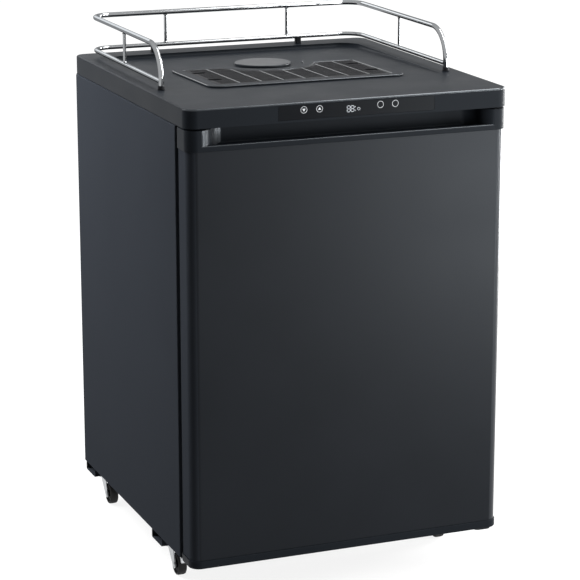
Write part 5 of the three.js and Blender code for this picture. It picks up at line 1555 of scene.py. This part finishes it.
class BuildCasters(Operator):
    """Makes one swivel caster and its brake pedal, and copies them under the four corners"""

    bl_idname = "kegerator.build_casters"
    bl_label = "Casters"

    places = ("front_left", "front_right", "rear_left", "rear_right")
    # The height of a fork's crown, how far in front of the swivel axis its pedal turns and how high,
    # how far its legs lean, in radians, and the angle up to which a caster is shaded smooth
    crown_top, pin_front, pin_high, lean, shading = 54.8, 12, 46.8, 0.35, 36

    def execute(self, context):
        sizes = sizes_of(context, "casters")
        home = self.places[0]
        spot = middle(f"caster_plate_{home}")
        low, high = corners(f"caster_plate_{home}")
        swivel = shifted(spot, z=0)
        axle = swivel - BACK * sizes.trail + UP * sizes.wheel
        masters = {
            "caster_plate": self.plate(sizes, swivel, low, high),
            "caster_fork": self.fork(sizes, swivel, axle, False),
            "caster_wheel": self.wheel(sizes, axle),
        }
        braked = self.fork(sizes, swivel, axle, True)
        pedal = self.pedal(sizes, swivel)
        for place in self.places:
            step = middle(f"caster_plate_{place}") - spot
            for kind, master in masters.items():
                node = f"{kind}_{place}"
                if kind == "caster_fork" and place.startswith("front"):
                    master = braked
                placed(copied(master, node.replace("caster_", ""), step), node, angle=self.shading)
                if kind == "caster_wheel":
                    self.hub(sizes, axle + step, node)
            if place.startswith("front"):
                placed(copied(pedal, f"pedal_{place}", step), f"brake_pedal_{place}", angle=40)
        removed(*masters.values(), braked, pedal)
        return {"FINISHED"}

    def plate(self, sizes, swivel, low, high):
        """A square plate with a bolt hole at each corner, and the pressed raceway and kingpin under it."""
        base = high.z - sizes.plate
        plate = slab("plate", shifted(low, z=base), high, 6, segments=6)
        bolt_reach, bolt_hole, race_drop = 19, 2.8, 4.5
        for side, end in CORNERS:
            spot = swivel + (RIGHT * side + BACK * end) * bolt_reach
            foot, head = spot + UP * (base - OVERRUN), spot + UP * (high.z + OVERRUN)
            cut(plate, rod("bolt_hole", foot, head, bolt_hole, 20))
        race = turned("race", swivel + UP * (base - race_drop), UP, [
            (0, -4.3), (5.5, -4.3), (7, -3.6), (7, -2.3), (4, -2.3), (4, 0.3), (13, 0.3), (14, 0.5),
            (14.6, 1.2), (17.2, 3.0), (18, 4), (18, 5.7), (0, 5.7),
        ], 40)
        return softened(welded(plate, race), 0.25, 2)

    def fork(self, sizes, swivel, axle, has_brake):
        """Two pressed legs hang from a crown and lean forward to the axle; the rivet heads are domed."""
        outer = sizes.leg_gap + sizes.sheet
        top, shoulder, half, end = self.crown_top, 9, 14, 8
        low = top - sizes.sheet
        back, front = swivel.y + half, swivel.y - half
        across, down = math.cos(self.lean), math.sin(self.lean)
        legs = []
        for left in (swivel.x - outer, swivel.x + sizes.leg_gap):
            start = axle + Vector((left - axle.x, -end * across, -end * down))
            legs.append(prism(
                "leg", start, (0, down, -across),
                [(end, 180 - 2 * math.degrees(self.lean)), [left, back, top - shoulder], [left, back, top],
                 [left, front, top], [left, front - 2, top - shoulder]],
                RIGHT * sizes.sheet, axis=RIGHT, fineness=12,
            ))
        crown = block("crown", (swivel.x - outer, front, low), (swivel.x + outer, back, top))
        cut(crown, rod("pin_way", swivel + UP * (low - OVERRUN), swivel + UP * (top + OVERRUN), 4.3, 32))
        fork, *legs = (self.trimmed(sheet, swivel, outer, sizes.sheet * 0.9) for sheet in (crown, *legs))
        welded(fork, *legs)
        reach, head = RIGHT * outer, RIGHT * 1.5
        welded(fork, rod("axle", axle - reach - head, axle + reach + head, sizes.axle, 32))
        for side in (-1, 1):
            rivet = turned("rivet", axle + reach * side - head * side * 0.2, RIGHT * side, [
                (0, 0), (5.5, 0), (5.5, 0.8), (4.6, 1.5), (2.5, 1.8), (0, 1.8),
            ], 6)
            welded(fork, rivet)
        if has_brake:
            pin = swivel - BACK * self.pin_front + UP * self.pin_high
            welded(fork, rod("pedal_pin", pin - reach, pin + reach, 2, 20))
        return softened(fork, 0.35, 2)

    def trimmed(self, sheet, swivel, outer, radius):
        """Rounds the bend where a leg turns into the crown."""
        return rounded(
            sheet, lambda spot, along: inward(spot, along) and spot.z > self.crown_top - 0.1
            and abs(abs(spot.x - swivel.x) - outer) < 0.1, radius, 4,
        )

    def wheel(self, sizes, axle):
        """A rubber tyre with a crowned tread and a groove either side of it."""
        half, radius, inner = sizes.tread / 2, sizes.wheel, sizes.wheel - sizes.rim
        bore = sizes.hub - 0.5
        return turned("tyre", axle, RIGHT, [
            (bore, -4.4), (inner, -4.4), (inner + 0.4, -half + 0.6), (inner + 1.2, -half),
            (radius - 2.2, -half), (radius - 0.8, -half + 0.9), (radius - 0.15, -half + 3), (radius, 0),
            (radius - 0.15, half - 3), (radius - 0.8, half - 0.9), (radius - 2.2, half),
            (inner + 1.2, half), (inner + 0.4, half - 0.6), (inner, 4.4), (bore, 4.4), (bore, -4.4),
        ], 56)

    def hub(self, sizes, axle, node):
        """The hard plastic centre: a boss on the axle and a thin web out to the tyre."""
        web, bore, rim = sizes.web / 2, sizes.axle + 0.3, sizes.wheel - sizes.rim - 0.1
        centre = turned("hub", axle, RIGHT, [
            (bore, -8.5), (6, -8.5), (sizes.hub, -7.6), (sizes.hub, -web / 2 - 1), (rim - 3, -web / 2),
            (rim - 1.5, -web), (rim, -web), (rim, web), (rim - 1.5, web), (rim - 3, web / 2),
            (sizes.hub, web / 2 + 1), (sizes.hub, 7.6), (6, 8.5), (bore, 8.5), (bore, -8.5),
        ], 48)
        centre.name = node.replace("caster_wheel", "hub")
        detail(shaded(centre, self.shading), node, "matt_polypropylene")

    def pedal(self, sizes, swivel):
        """A pressed tongue that curls over the wheel, with its barrel round the pin."""
        pin = swivel - BACK * self.pin_front + UP * self.pin_high
        half, radius, sheet = sizes.pedal_half, 3.6, 2
        left = pin - RIGHT * half
        top, reach, drop = pin.z + radius, 39, 17
        tip, root = pin.y - reach, pin.y - radius / 2
        tongue = prism(
            "tongue", (left.x, root, top), -BACK,
            [reach - 16 - radius / 2, (16, 60), (3, 20)] + [[left.x, y, top - fall] for y, fall in (
                (tip + 0.4, drop), (tip + sheet + 0.3, drop), (tip + 6, 8.6), (tip + 13, 3.6),
                (root - 8, sheet), (root, sheet),
            )],
            RIGHT * 2 * half, axis=RIGHT, fineness=10,
        )
        pedal = welded(rod("barrel", left, left + RIGHT * 2 * half, radius, 32), tongue)
        cut(pedal, rod("bore", left - RIGHT * OVERRUN, left + RIGHT * (2 * half + OVERRUN), 2.3, 20))
        rounded(
            pedal, lambda spot, along: abs(along.x) < TOUCH and spot.y < tip + 3
            and abs(spot.x - pin.x) > half - 0.1, 0.6, 2,
        )
        return softened(pedal, 0.25, 2)


class BuildCabinet(Operator):
    """Folds the cabinet's steel shell, with its front flange and the hole for the tower's lines"""

    bl_idname = "kegerator.build_cabinet"
    bl_label = "Cabinet shell"

    def execute(self, context):
        sizes = sizes_of(context, "cabinet")
        low, high = corners("cabinet_shell")
        shell = self.wrap("cabinet_steel", low, high, 0, sizes)
        rounded(shell, lambda spot, along: upright(spot, along) and spot.y < low.y + 0.1, sizes.fold, 5)
        inner = Vector((sizes.sheet, sizes.sheet, 0))
        hollow = self.wrap(
            "hollow", low + inner - UP * OVERRUN,
            Vector((high.x - sizes.sheet, high.y + OVERRUN, high.z - sizes.sheet)), sizes.sheet, sizes,
        )
        flange = Vector((sizes.flange, 0, sizes.flange))
        mouth = block(
            "mouth", low + flange - BACK * OVERRUN, Vector((high.x, low.y + 2 * OVERRUN, high.z)) - flange
        )
        way = shifted(middle("tower_hole_sleeve"), z=high.z)
        hole = rod("way", way - UP * 2 * OVERRUN, way + UP * OVERRUN, sizes.roof_hole, 64)
        cut(shell, hollow, mouth, hole)
        # The shell's dull grey enamel: the grey is painted sheen
        placed(shell, "cabinet_shell", finish="shell_enamel", angle=30)
        return {"FINISHED"}

    def wrap(self, name, low, high, inset, sizes):
        body = block(name, low, high)
        return rounded(
            body, lambda spot, along: inward(spot, along) and spot.z > high.z - 0.1,
            sizes.roof_corner - inset, 6,
        )


# The radius of the gas line's way through the back panel and the liner, and of the liner's hole for
# the tower's sleeve
GAS_WAY, SLEEVE_WAY = 11.3, 38.3


class BuildBack(Operator):
    """Presses the back panel's stiffening fields, screws it on and plugs the gas line's way"""

    bl_idname = "kegerator.build_back"
    bl_label = "Back panel"

    def execute(self, context):
        sizes = sizes_of(context, "cabinet")
        low, high = corners("back_panel")
        panel = block("back_steel", low, high)
        rounded(panel, inward, sizes.roof_corner, 5)
        self.fields(panel, low, high, sizes)
        plug = middle("gas_line_plug")
        way = shifted(plug, y=low.y)
        cut(panel, rod("way", way - BACK * OVERRUN, way + BACK * OVERRUN, GAS_WAY, 32))
        # The shell's dull grey enamel, whose grey is painted sheen
        placed(softened(panel, 0.3, 1, angle=50), "back_panel", finish="shell_enamel", angle=25)
        self.screws(low, high, sizes)
        self.plug(plug)
        return {"FINISHED"}

    def fields(self, panel, low, high, sizes):
        """Three wide fields are pressed out of the sheet: each rises over a sloping border."""
        edge, gap, slope = 26, 16, 5
        width = (high.x - low.x - 2 * edge - 2 * gap) / 3
        for place in range(3):
            left = low.x + edge + place * (width + gap)
            field = block(
                "field", (left, high.y - 0.4, low.z + edge),
                (left + width, high.y + sizes.rib_depth, high.z - edge),
            )
            rounded(field, inward, 12, 5)
            chosen(field, "FACE", lambda spot, normal: normal.y > 0.9)
            bpy.ops.transform.resize(
                value=(1 - 2 * slope / width, 1, 1 - 2 * slope / (high.z - low.z - 2 * edge)),
                center_override=metres((left + width / 2, high.y, (low.z + high.z) / 2)),
            )
            done()
            welded(panel, field)

    def screws(self, low, high, sizes):
        """Cross-head screws along the edges, modelled once and copied."""
        radius = sizes.screw
        head = turned("screw", (0, high.y, 0), BACK, [
            (0, -0.2), (radius, -0.2), (radius, 0.3), (radius * 0.8, 1.2), (radius * 0.45, 1.7), (0, 1.8),
        ], 24)
        for wide, tall in ((radius * 0.55, 0.45), (0.45, radius * 0.55)):
            cut(head, block("slot", (-wide, high.y + 0.8, -tall), (wide, high.y + OVERRUN, tall)))
        edge = 10
        columns = [low.x + edge, (low.x + high.x) / 2, high.x - edge]
        rows = [low.z + edge, (low.z + high.z) / 2, high.z - edge]
        heads = [
            copied(head, "screw", (column, 0, row)) for column in columns for row in rows
            if column != columns[1] or row != rows[1]
        ]
        removed(head)
        detail(shaded(together("back_screws", heads), 35), "back_panel", "zinc_plate")

    def plug(self, spot):
        """A rubber plug with a domed head outside and a plain one inside."""
        low, high = corners("gas_line_plug")
        depth = high.y - low.y
        plug = turned("gas_way_plug", shifted(spot, y=low.y), BACK, [
            (0, 0), (15, 0), (16, 0.8), (16, 2), (11, 2), (11, depth - 2), (16, depth - 2), (16, depth - 1.2),
            (14.5, depth - 0.4), (11.5, depth), (9, depth), (8, depth - 1), (0, depth - 1),
        ], 48)
        placed(plug, "gas_line_plug", angle=30)


class BuildBase(Operator):
    """Folds the base pan with its two caster channels and its cooling slots"""

    bl_idname = "kegerator.build_base"
    bl_label = "Base"

    def execute(self, context):
        low, high = corners("base_pan")
        sheet, half, wall = 1.5, 29, 2
        floor = high.z - sheet
        pan = block("base_sheet", shifted(low, z=floor), high)
        for caster in ("caster_plate_front_left", "caster_plate_rear_left"):
            spot = middle(caster).y
            front, back = spot - half, min(spot + half, high.y)
            channel = block("channel", (low.x, front, low.z), (high.x, back, floor + sheet / 2))
            rounded(channel, lambda place, along: abs(along.x) > ALONG and place.z < low.z + 0.1, 3.5, 4)
            inside = block(
                "inside", (low.x - OVERRUN, front + wall, low.z + wall),
                (high.x + OVERRUN, back - wall, floor),
            )
            welded(pan, cut(channel, inside))
        self.cooling_slots(pan, floor)
        # The shell's dull grey enamel, whose grey is painted sheen
        placed(softened(pan, 0.3, 1, angle=50), "base_pan", finish="shell_enamel", angle=35)
        return {"FINISHED"}

    def cooling_slots(self, pan, floor):
        """Cooling slots under the machine bay, cut as one row."""
        slot = block("slot", (90, 216, floor - OVERRUN), (96, 244, floor + 2 * OVERRUN))
        rounded(slot, upright, 2.9, 4)
        cut(pan, repeated(slot, 12, (14, 0, 0)))


class BuildLiner(Operator):
    """Draws the white inner liner over its stepped mould, with a flange round its mouth"""

    bl_idname = "kegerator.build_liner"
    bl_label = "Inner liner"

    def execute(self, context):
        sizes = sizes_of(context, "inside")
        low, high = corners("inner_liner")
        wall = sizes.liner
        flange = block("liner_white", low, (high.x, low.y + wall, high.z))
        welded(flange, self.space("shell", sizes, wall, low.y))
        cut(flange, self.space("cold_space", sizes, 0, low.y - OVERRUN))
        roof = shifted(middle("tower_hole_sleeve"), z=sizes.high)
        cut(flange, rod("sleeve_way", roof - UP * OVERRUN, roof + UP * OVERRUN, SLEEVE_WAY))
        back = shifted(middle("gas_line_plug"), y=high.y)
        cut(flange, rod("gas_way", back - BACK * 2 * OVERRUN, back + BACK * OVERRUN, GAS_WAY, 32))
        placed(flange, "inner_liner", angle=35)
        return {"FINISHED"}

    def space(self, name, sizes, growth, front):
        """The cold space, full height at the front and stepped over the machine bay."""
        worktop_back = corners("worktop")[1].y
        back, step = worktop_back - sizes.back + growth, worktop_back - sizes.step_front + growth
        half, corner = sizes.half + growth, sizes.corner + growth
        body = block(name, (-half, front, sizes.low - growth), (half, back, sizes.high + growth))
        rounded(body, inward, corner, 8)
        rounded(body, lambda spot, along: spot.y > back - 0.05 and abs(along.y) < 0.05, corner / 2, 5)
        bench = block(
            "bench", (-half - OVERRUN, step, sizes.low - 3 * OVERRUN),
            (half + OVERRUN, back + OVERRUN, sizes.step_top - growth),
        )
        return cut(body, bench)


class BuildSleeve(Operator):
    """Makes the sleeve that lines the tower hole, and the steel plate under the keg"""

    bl_idname = "kegerator.build_sleeve"
    bl_label = "Hole sleeve and keg plate"

    def execute(self, context):
        low, high = corners("tower_hole_sleeve")
        wide, bore, wall = (high.x - low.x) / 2, sizes_of(context, "worktop").hole, 2
        sleeve = turned("hole_sleeve", shifted(middle("tower_hole_sleeve"), z=low.z), UP, [
            (bore, 0.6), (bore + 0.6, 0), (wide - 0.8, 0), (wide, 0.8), (wide, wall), (bore + wall, wall),
            (bore + wall, high.z - low.z), (bore, high.z - low.z), (bore, 0.6),
        ], 64)
        placed(sleeve, "tower_hole_sleeve", angle=40)
        self.keg_plate()
        return {"FINISHED"}

    def keg_plate(self):
        """A steel sheet with a pressed ring that keeps a keg's foot in place."""
        low, high = corners("keg_floor_plate")
        sheet, rise, band = 2, 3, 10
        plate = slab("keg_plate", low, shifted(high, z=low.z + sheet), 24, segments=10)
        spot = (low + high) / 2
        radius = (high.y - low.y) / 2 - 20.5
        ring = turned("ring", shifted(spot, z=low.z + sheet - 0.5), UP, [
            (radius - band, 0), (radius - band + 0.3, 0.6), (radius - band + 2, rise * 0.8),
            (radius - band / 2, rise + 0.5), (radius - 2, rise * 0.8), (radius - 0.3, 0.6), (radius, 0),
            (radius - band, 0),
        ], 96)
        placed(softened(welded(plate, ring), 0.3, 1, angle=60), "keg_floor_plate", angle=35)


class BuildCooler(Operator):
    """Moulds the cooler's cover with its louvres and fan guard, and makes the fan behind it"""

    bl_idname = "kegerator.build_cooler"
    bl_label = "Cooler and fan"

    def execute(self, context):
        sizes = sizes_of(context, "inside")
        low, high = corners("evaporator_cover")
        fan = middle("fan_impeller")
        cover = block("cooler_cover", low, high)
        corner, inset = 14, 3.5
        rounded(cover, inward, corner, 8)
        rounded(cover, lambda spot, along: spot.y < low.y + 0.05 and abs(along.y) < 0.05, 3, 4)
        hollow = block("hollow", low + Vector((inset, 2, inset)), high + Vector((-inset, OVERRUN, -inset)))
        rounded(hollow, inward, corner - inset, 8)
        front = shifted(fan, y=low.y)
        opening = rod("opening", front - BACK * OVERRUN, front + BACK * OVERRUN, sizes.fan_opening, 64)
        cut(cover, hollow, opening, self.louvres(low, sizes))
        welded(cover, *self.guard(front, sizes))
        placed(softened(cover, 0.3, 1, angle=50), "evaporator_cover", angle=35)
        self.fan(sizes)
        self.motor()
        return {"FINISHED"}

    def louvres(self, low, sizes):
        half = sizes.louvre_half
        start = Vector((-half, low.y - OVERRUN, low.z + 22))
        slot = block("louvre", start, start + Vector((2 * half, 2 * OVERRUN, sizes.louvre)))
        rounded(slot, inward, sizes.louvre / 2.05, 5)
        return repeated(slot, 5, (0, 0, sizes.louvre_pitch))

    def guard(self, front, sizes):
        """Three rings and six spokes keep fingers off the blades."""
        reach, parts = sizes.fan_opening, []
        for radius in (14, 25, 36):
            parts.append(turned("guard_ring", front, BACK, [
                (radius - 1.2, 0.3), (radius, 0), (radius + 1.2, 0.3), (radius + 1.2, 2), (radius - 1.2, 2),
                (radius - 1.2, 0.3),
            ], 64))
        for place in range(3):
            end = reach + 2
            spoke = block("spoke", front - Vector((end, -0.2, 1.5)), front + Vector((end, 1.9, 1.5)))
            parts.append(swung(spoke, 60 * place + 30, BACK, front))
        return parts

    def fan(self, sizes):
        """Five pitched blades with rounded tips stand on a domed hub."""
        low, high = corners("fan_impeller")
        deep, tip, hub = high.y - low.y, (high.x - low.x) / 2, sizes.fan_hub
        front = shifted(middle("fan_impeller"), y=low.y)
        wheel = turned("fan_wheel", front, BACK, [
            (0, 0), (hub * 0.6, 0.2), (hub - 1.5, 1), (hub, 2.6), (hub, deep), (2.3, deep),
            (2.3, 1.5), (0, 1.5),
        ], 40)
        sheet = 1.4
        height = deep / 2 - sheet / 2
        blade = prism(
            "blade", front + Vector((hub * 0.8, height, -7)), RIGHT,
            [[x, front.y + height, front.z + z] for x, z in (
                (hub + 8, -13), (tip - 7, -15), (tip - 2, -11), (tip - 1, -2), (tip - 3, 7), (tip - 8, 10),
                (hub + 6, 8), (hub * 0.8, 4),
            )],
            BACK * sheet,
        )
        swung(blade, 24, RIGHT, front + BACK * deep / 2)
        blades = [blade] + [swung(copied(blade, "blade"), 72 * place, BACK, front) for place in range(1, 5)]
        welded(wheel, *blades)
        placed(softened(wheel, 0.25, 1, angle=50), "fan_impeller", angle=35)

    def motor(self):
        """The motor's can has a rolled bead, and its shaft carries the fan."""
        low, high = corners("fan_motor")
        radius, deep, shaft = (high.x - low.x) / 2, high.y - low.y, 18
        can = turned("fan_motor_can", shifted(middle("fan_motor"), y=low.y), BACK, [
            (0, 0), (2, 0), (2, shaft - 5), (6, shaft - 5), (6, shaft - 3), (radius - 3, shaft - 3),
            (radius - 1, shaft - 2), (radius - 1, shaft + 4), (radius, shaft + 5), (radius, shaft + 7),
            (radius - 1, shaft + 8), (radius - 1, deep), (0, deep),
        ])
        placed(can, "fan_motor", angle=35)


class BuildCompressor(Operator):
    """Makes the compressor: an oval can of two welded halves on a plate with rubber feet"""

    bl_idname = "kegerator.build_compressor"
    bl_label = "Compressor"

    # How much wider the can is than it is deep
    oval = 1.32

    def execute(self, context):
        sizes = sizes_of(context, "machine")
        low, high = corners("compressor")
        base = low.z + sizes.foot_gap + sizes.plate
        spot = shifted((low + high) / 2, z=0)
        can = turned("compressor_can", (0, 0, base - 1), UP, self.can_profile(sizes, high.z - base + 1), 72)
        can.data.transform(Matrix.Scale(self.oval, 4, RIGHT))
        moved(can, spot)
        half = Vector(((high.x - low.x) / 2, 48, 0))
        plate = slab(
            "plate", shifted(spot, z=base - sizes.plate) - half, shifted(spot, z=base) + half, 10, segments=5
        )
        rounded(plate, level_at(base), 0.8, 2)
        placed(softened(welded(can, plate), 0.4, 2, angle=50), "compressor", angle=32)
        self.feet(sizes, low, spot, half)
        self.stubs(spot, sizes)
        return {"FINISHED"}

    def can_profile(self, sizes, tall):
        """The lower half flares into the seam; the upper half ends in a pressed dome."""
        radius, seam, waist = sizes.can, sizes.seam, tall / 2
        return [
            (0, 0), (radius * 0.78, 0), (radius * 0.9, 5), (radius * 0.97, 13), (radius, 24),
            (radius, waist - 6), (radius + seam * 0.5, waist - 2.5), (radius + seam, waist - 2),
            (radius + seam, waist + 2), (radius, waist + 2.6), (radius, tall - 46),
            (radius * 0.985, tall - 34), (radius * 0.93, tall - 22), (radius * 0.82, tall - 11),
            (radius * 0.66, tall - 4), (radius * 0.48, tall - 0.8), (radius * 0.3, tall), (0, tall),
        ]

    def feet(self, sizes, low, spot, half):
        """One stepped rubber foot with its washer and screw, copied to the plate's corners."""
        top = low.z + sizes.foot_gap + sizes.plate
        foot = turned("foot", (0, 0, low.z), UP, [
            (0, 0), (sizes.foot - 1, 0), (sizes.foot, 1), (sizes.foot, 3), (sizes.foot - 1.6, 4),
            (sizes.foot - 1.6, sizes.foot_gap + 1), (0, sizes.foot_gap + 1),
        ], 32)
        screw = turned("screw", (0, 0, top), UP, [
            (0, -1), (6.5, -1), (6.5, 0.9), (4.2, 0.9), (4.2, 3.6), (3.6, 4.2), (0, 4.2),
        ], 24)
        feet, screws, inset = [], [], 14
        for side, end in CORNERS:
            place = (spot.x + side * (half.x - inset), spot.y + end * (half.y - inset), 0)
            feet.append(copied(foot, "foot", place))
            screws.append(copied(screw, "screw", place))
        removed(foot, screw)
        detail(together("compressor_feet", feet), "compressor", "moulded_rubber")
        detail(together("compressor_screws", screws), "compressor", "zinc_plate")

    def stubs(self, spot, sizes):
        """Short copper stubs where the pipes are brazed into the can."""
        stubs = []
        for node, side in (("discharge_pipe", -1), ("suction_pipe", 1)):
            start = shifted(spot, x=spot.x + side * (sizes.can * self.oval - 6), z=middle(node).z)
            stubs.append(rod("stub", start, start + RIGHT * side * 9, sizes.pipe + 1.2, 24))
        detail(together("pipe_stubs", stubs), "discharge_pipe", "drawn_copper")


class BuildMachineBay(Operator):
    """Makes the relay box, the evaporation pan and the two refrigerant pipes round the compressor"""

    bl_idname = "kegerator.build_machine_bay"
    bl_label = "Machine bay"

    def execute(self, context):
        sizes = sizes_of(context, "machine")
        self.relay(sizes)
        self.pan(sizes)
        self.pipe("discharge_pipe", -1, sizes)
        self.pipe("suction_pipe", 1, sizes)
        return {"FINISHED"}

    def relay(self, sizes):
        """A box with a snapped lid: a shadow gap runs round it, and a gland hangs under it."""
        low, high = corners("relay_box")
        spot = (low + high) / 2
        neck, gap, deep = 12, 0.6, 0.8
        box = block("relay_cover", shifted(low, z=low.z + neck), high)
        rounded(box, lambda place, along: True, 2, 3)
        groove = block(
            "groove", (spot.x - gap, low.y - OVERRUN, low.z),
            (spot.x + gap, high.y + OVERRUN, high.z + OVERRUN),
        )
        core = block(
            "core", (spot.x - 2, low.y + deep, low.z + neck + deep),
            (spot.x + 2, high.y - deep, high.z - deep),
        )
        cut(box, cut(groove, core))
        gland = turned("gland", shifted(spot, z=low.z), UP, [
            (4, 0), (sizes.gland, 0), (sizes.gland, 3), (sizes.gland - 1, 4), (sizes.gland - 1, neck + 1),
            (4, neck + 1), (4, 0),
        ], 32)
        placed(softened(welded(box, gland), 0.25, 1, angle=50), "relay_box", angle=35)

    def pan(self, sizes):
        """A drawn pan over the warm can, with a rolled rim and rounded corners."""
        low, high = corners("evaporation_pan")
        wall = Vector((sizes.pan_wall, sizes.pan_wall, 0))
        pan = slab("melt_pan", low, high, 12, segments=8)
        rounded(pan, level_at(low.z), 5, 5)
        inner = slab("inner", low + wall + UP * sizes.pan_wall, high - wall + UP * OVERRUN, 10, segments=8)
        rounded(inner, level_at(low.z + sizes.pan_wall), 4, 5)
        placed(softened(cut(pan, inner), 0.5, 2, angle=60), "evaporation_pan", angle=35)

    def pipe(self, node, side, sizes):
        """A pipe leaves the can's side and bends forward into the bay's front wall."""
        low, high = corners(node)
        radius, bend = sizes.pipe, sizes.pipe_bend
        height = (low.z + high.z) / 2
        start = low.x if side > 0 else high.x
        end = high.x - radius if side > 0 else low.x + radius
        reach, back = abs(end - start), high.y - radius
        pipe = tube(
            f"{node}_copper", (start, back, height), RIGHT * side, radius,
            [reach - bend, (bend, -90 * side), back - low.y - bend], sides=20,
        )
        placed(pipe, node, angle=40)


STEPS = (
    SetStage, FinishFrame, BuildWorktop, BuildControls, BuildCover, BuildTray, BuildRail,
    BuildDoorSkin, BuildDoorCaps, BuildHinges, BuildDoorInside, BuildCasters, BuildCabinet,
    BuildBack, BuildBase, BuildLiner, BuildSleeve, BuildCooler, BuildCompressor, BuildMachineBay,
)
GROUPS = {
    "kegerator_view": KegeratorView,
    "kegerator_worktop": WorktopSizes,
    "kegerator_tray": TraySizes,
    "kegerator_rail": RailSizes,
    "kegerator_door": DoorSizes,
    "kegerator_casters": CasterSizes,
    "kegerator_cabinet": CabinetSizes,
    "kegerator_inside": InsideSizes,
    "kegerator_machine": MachineSizes,
}


class KegeratorPanel(Panel):
    """Lists the kegerator's steps and the sizes that they use"""

    bl_idname = "VIEW3D_PT_kegerator"
    bl_label = "Kegerator"
    bl_space_type = "VIEW_3D"
    bl_region_type = "UI"
    bl_category = "Kegerator"

    def draw(self, context):
        column = self.layout.column(align=True)
        for step in STEPS:
            column.operator(step.bl_idname)
        for group in GROUPS:
            held = getattr(context.scene, group)
            box = self.layout.box()
            for name in sizes_in(held):
                box.prop(held, name)


CLASSES = tuple(GROUPS.values()) + STEPS + (KegeratorPanel,)


def register():
    for kind in CLASSES:
        bpy.utils.register_class(kind)
    for group, kind in GROUPS.items():
        setattr(bpy.types.Scene, group, PointerProperty(type=kind))


def unregister():
    for group in GROUPS:
        delattr(bpy.types.Scene, group)
    for kind in reversed(CLASSES):
        bpy.utils.unregister_class(kind)


def main():
    register()
    for step in STEPS:
        group, name = step.bl_idname.split(".")
        getattr(getattr(bpy.ops, group), name)()


if __name__ == "__main__":
    main()
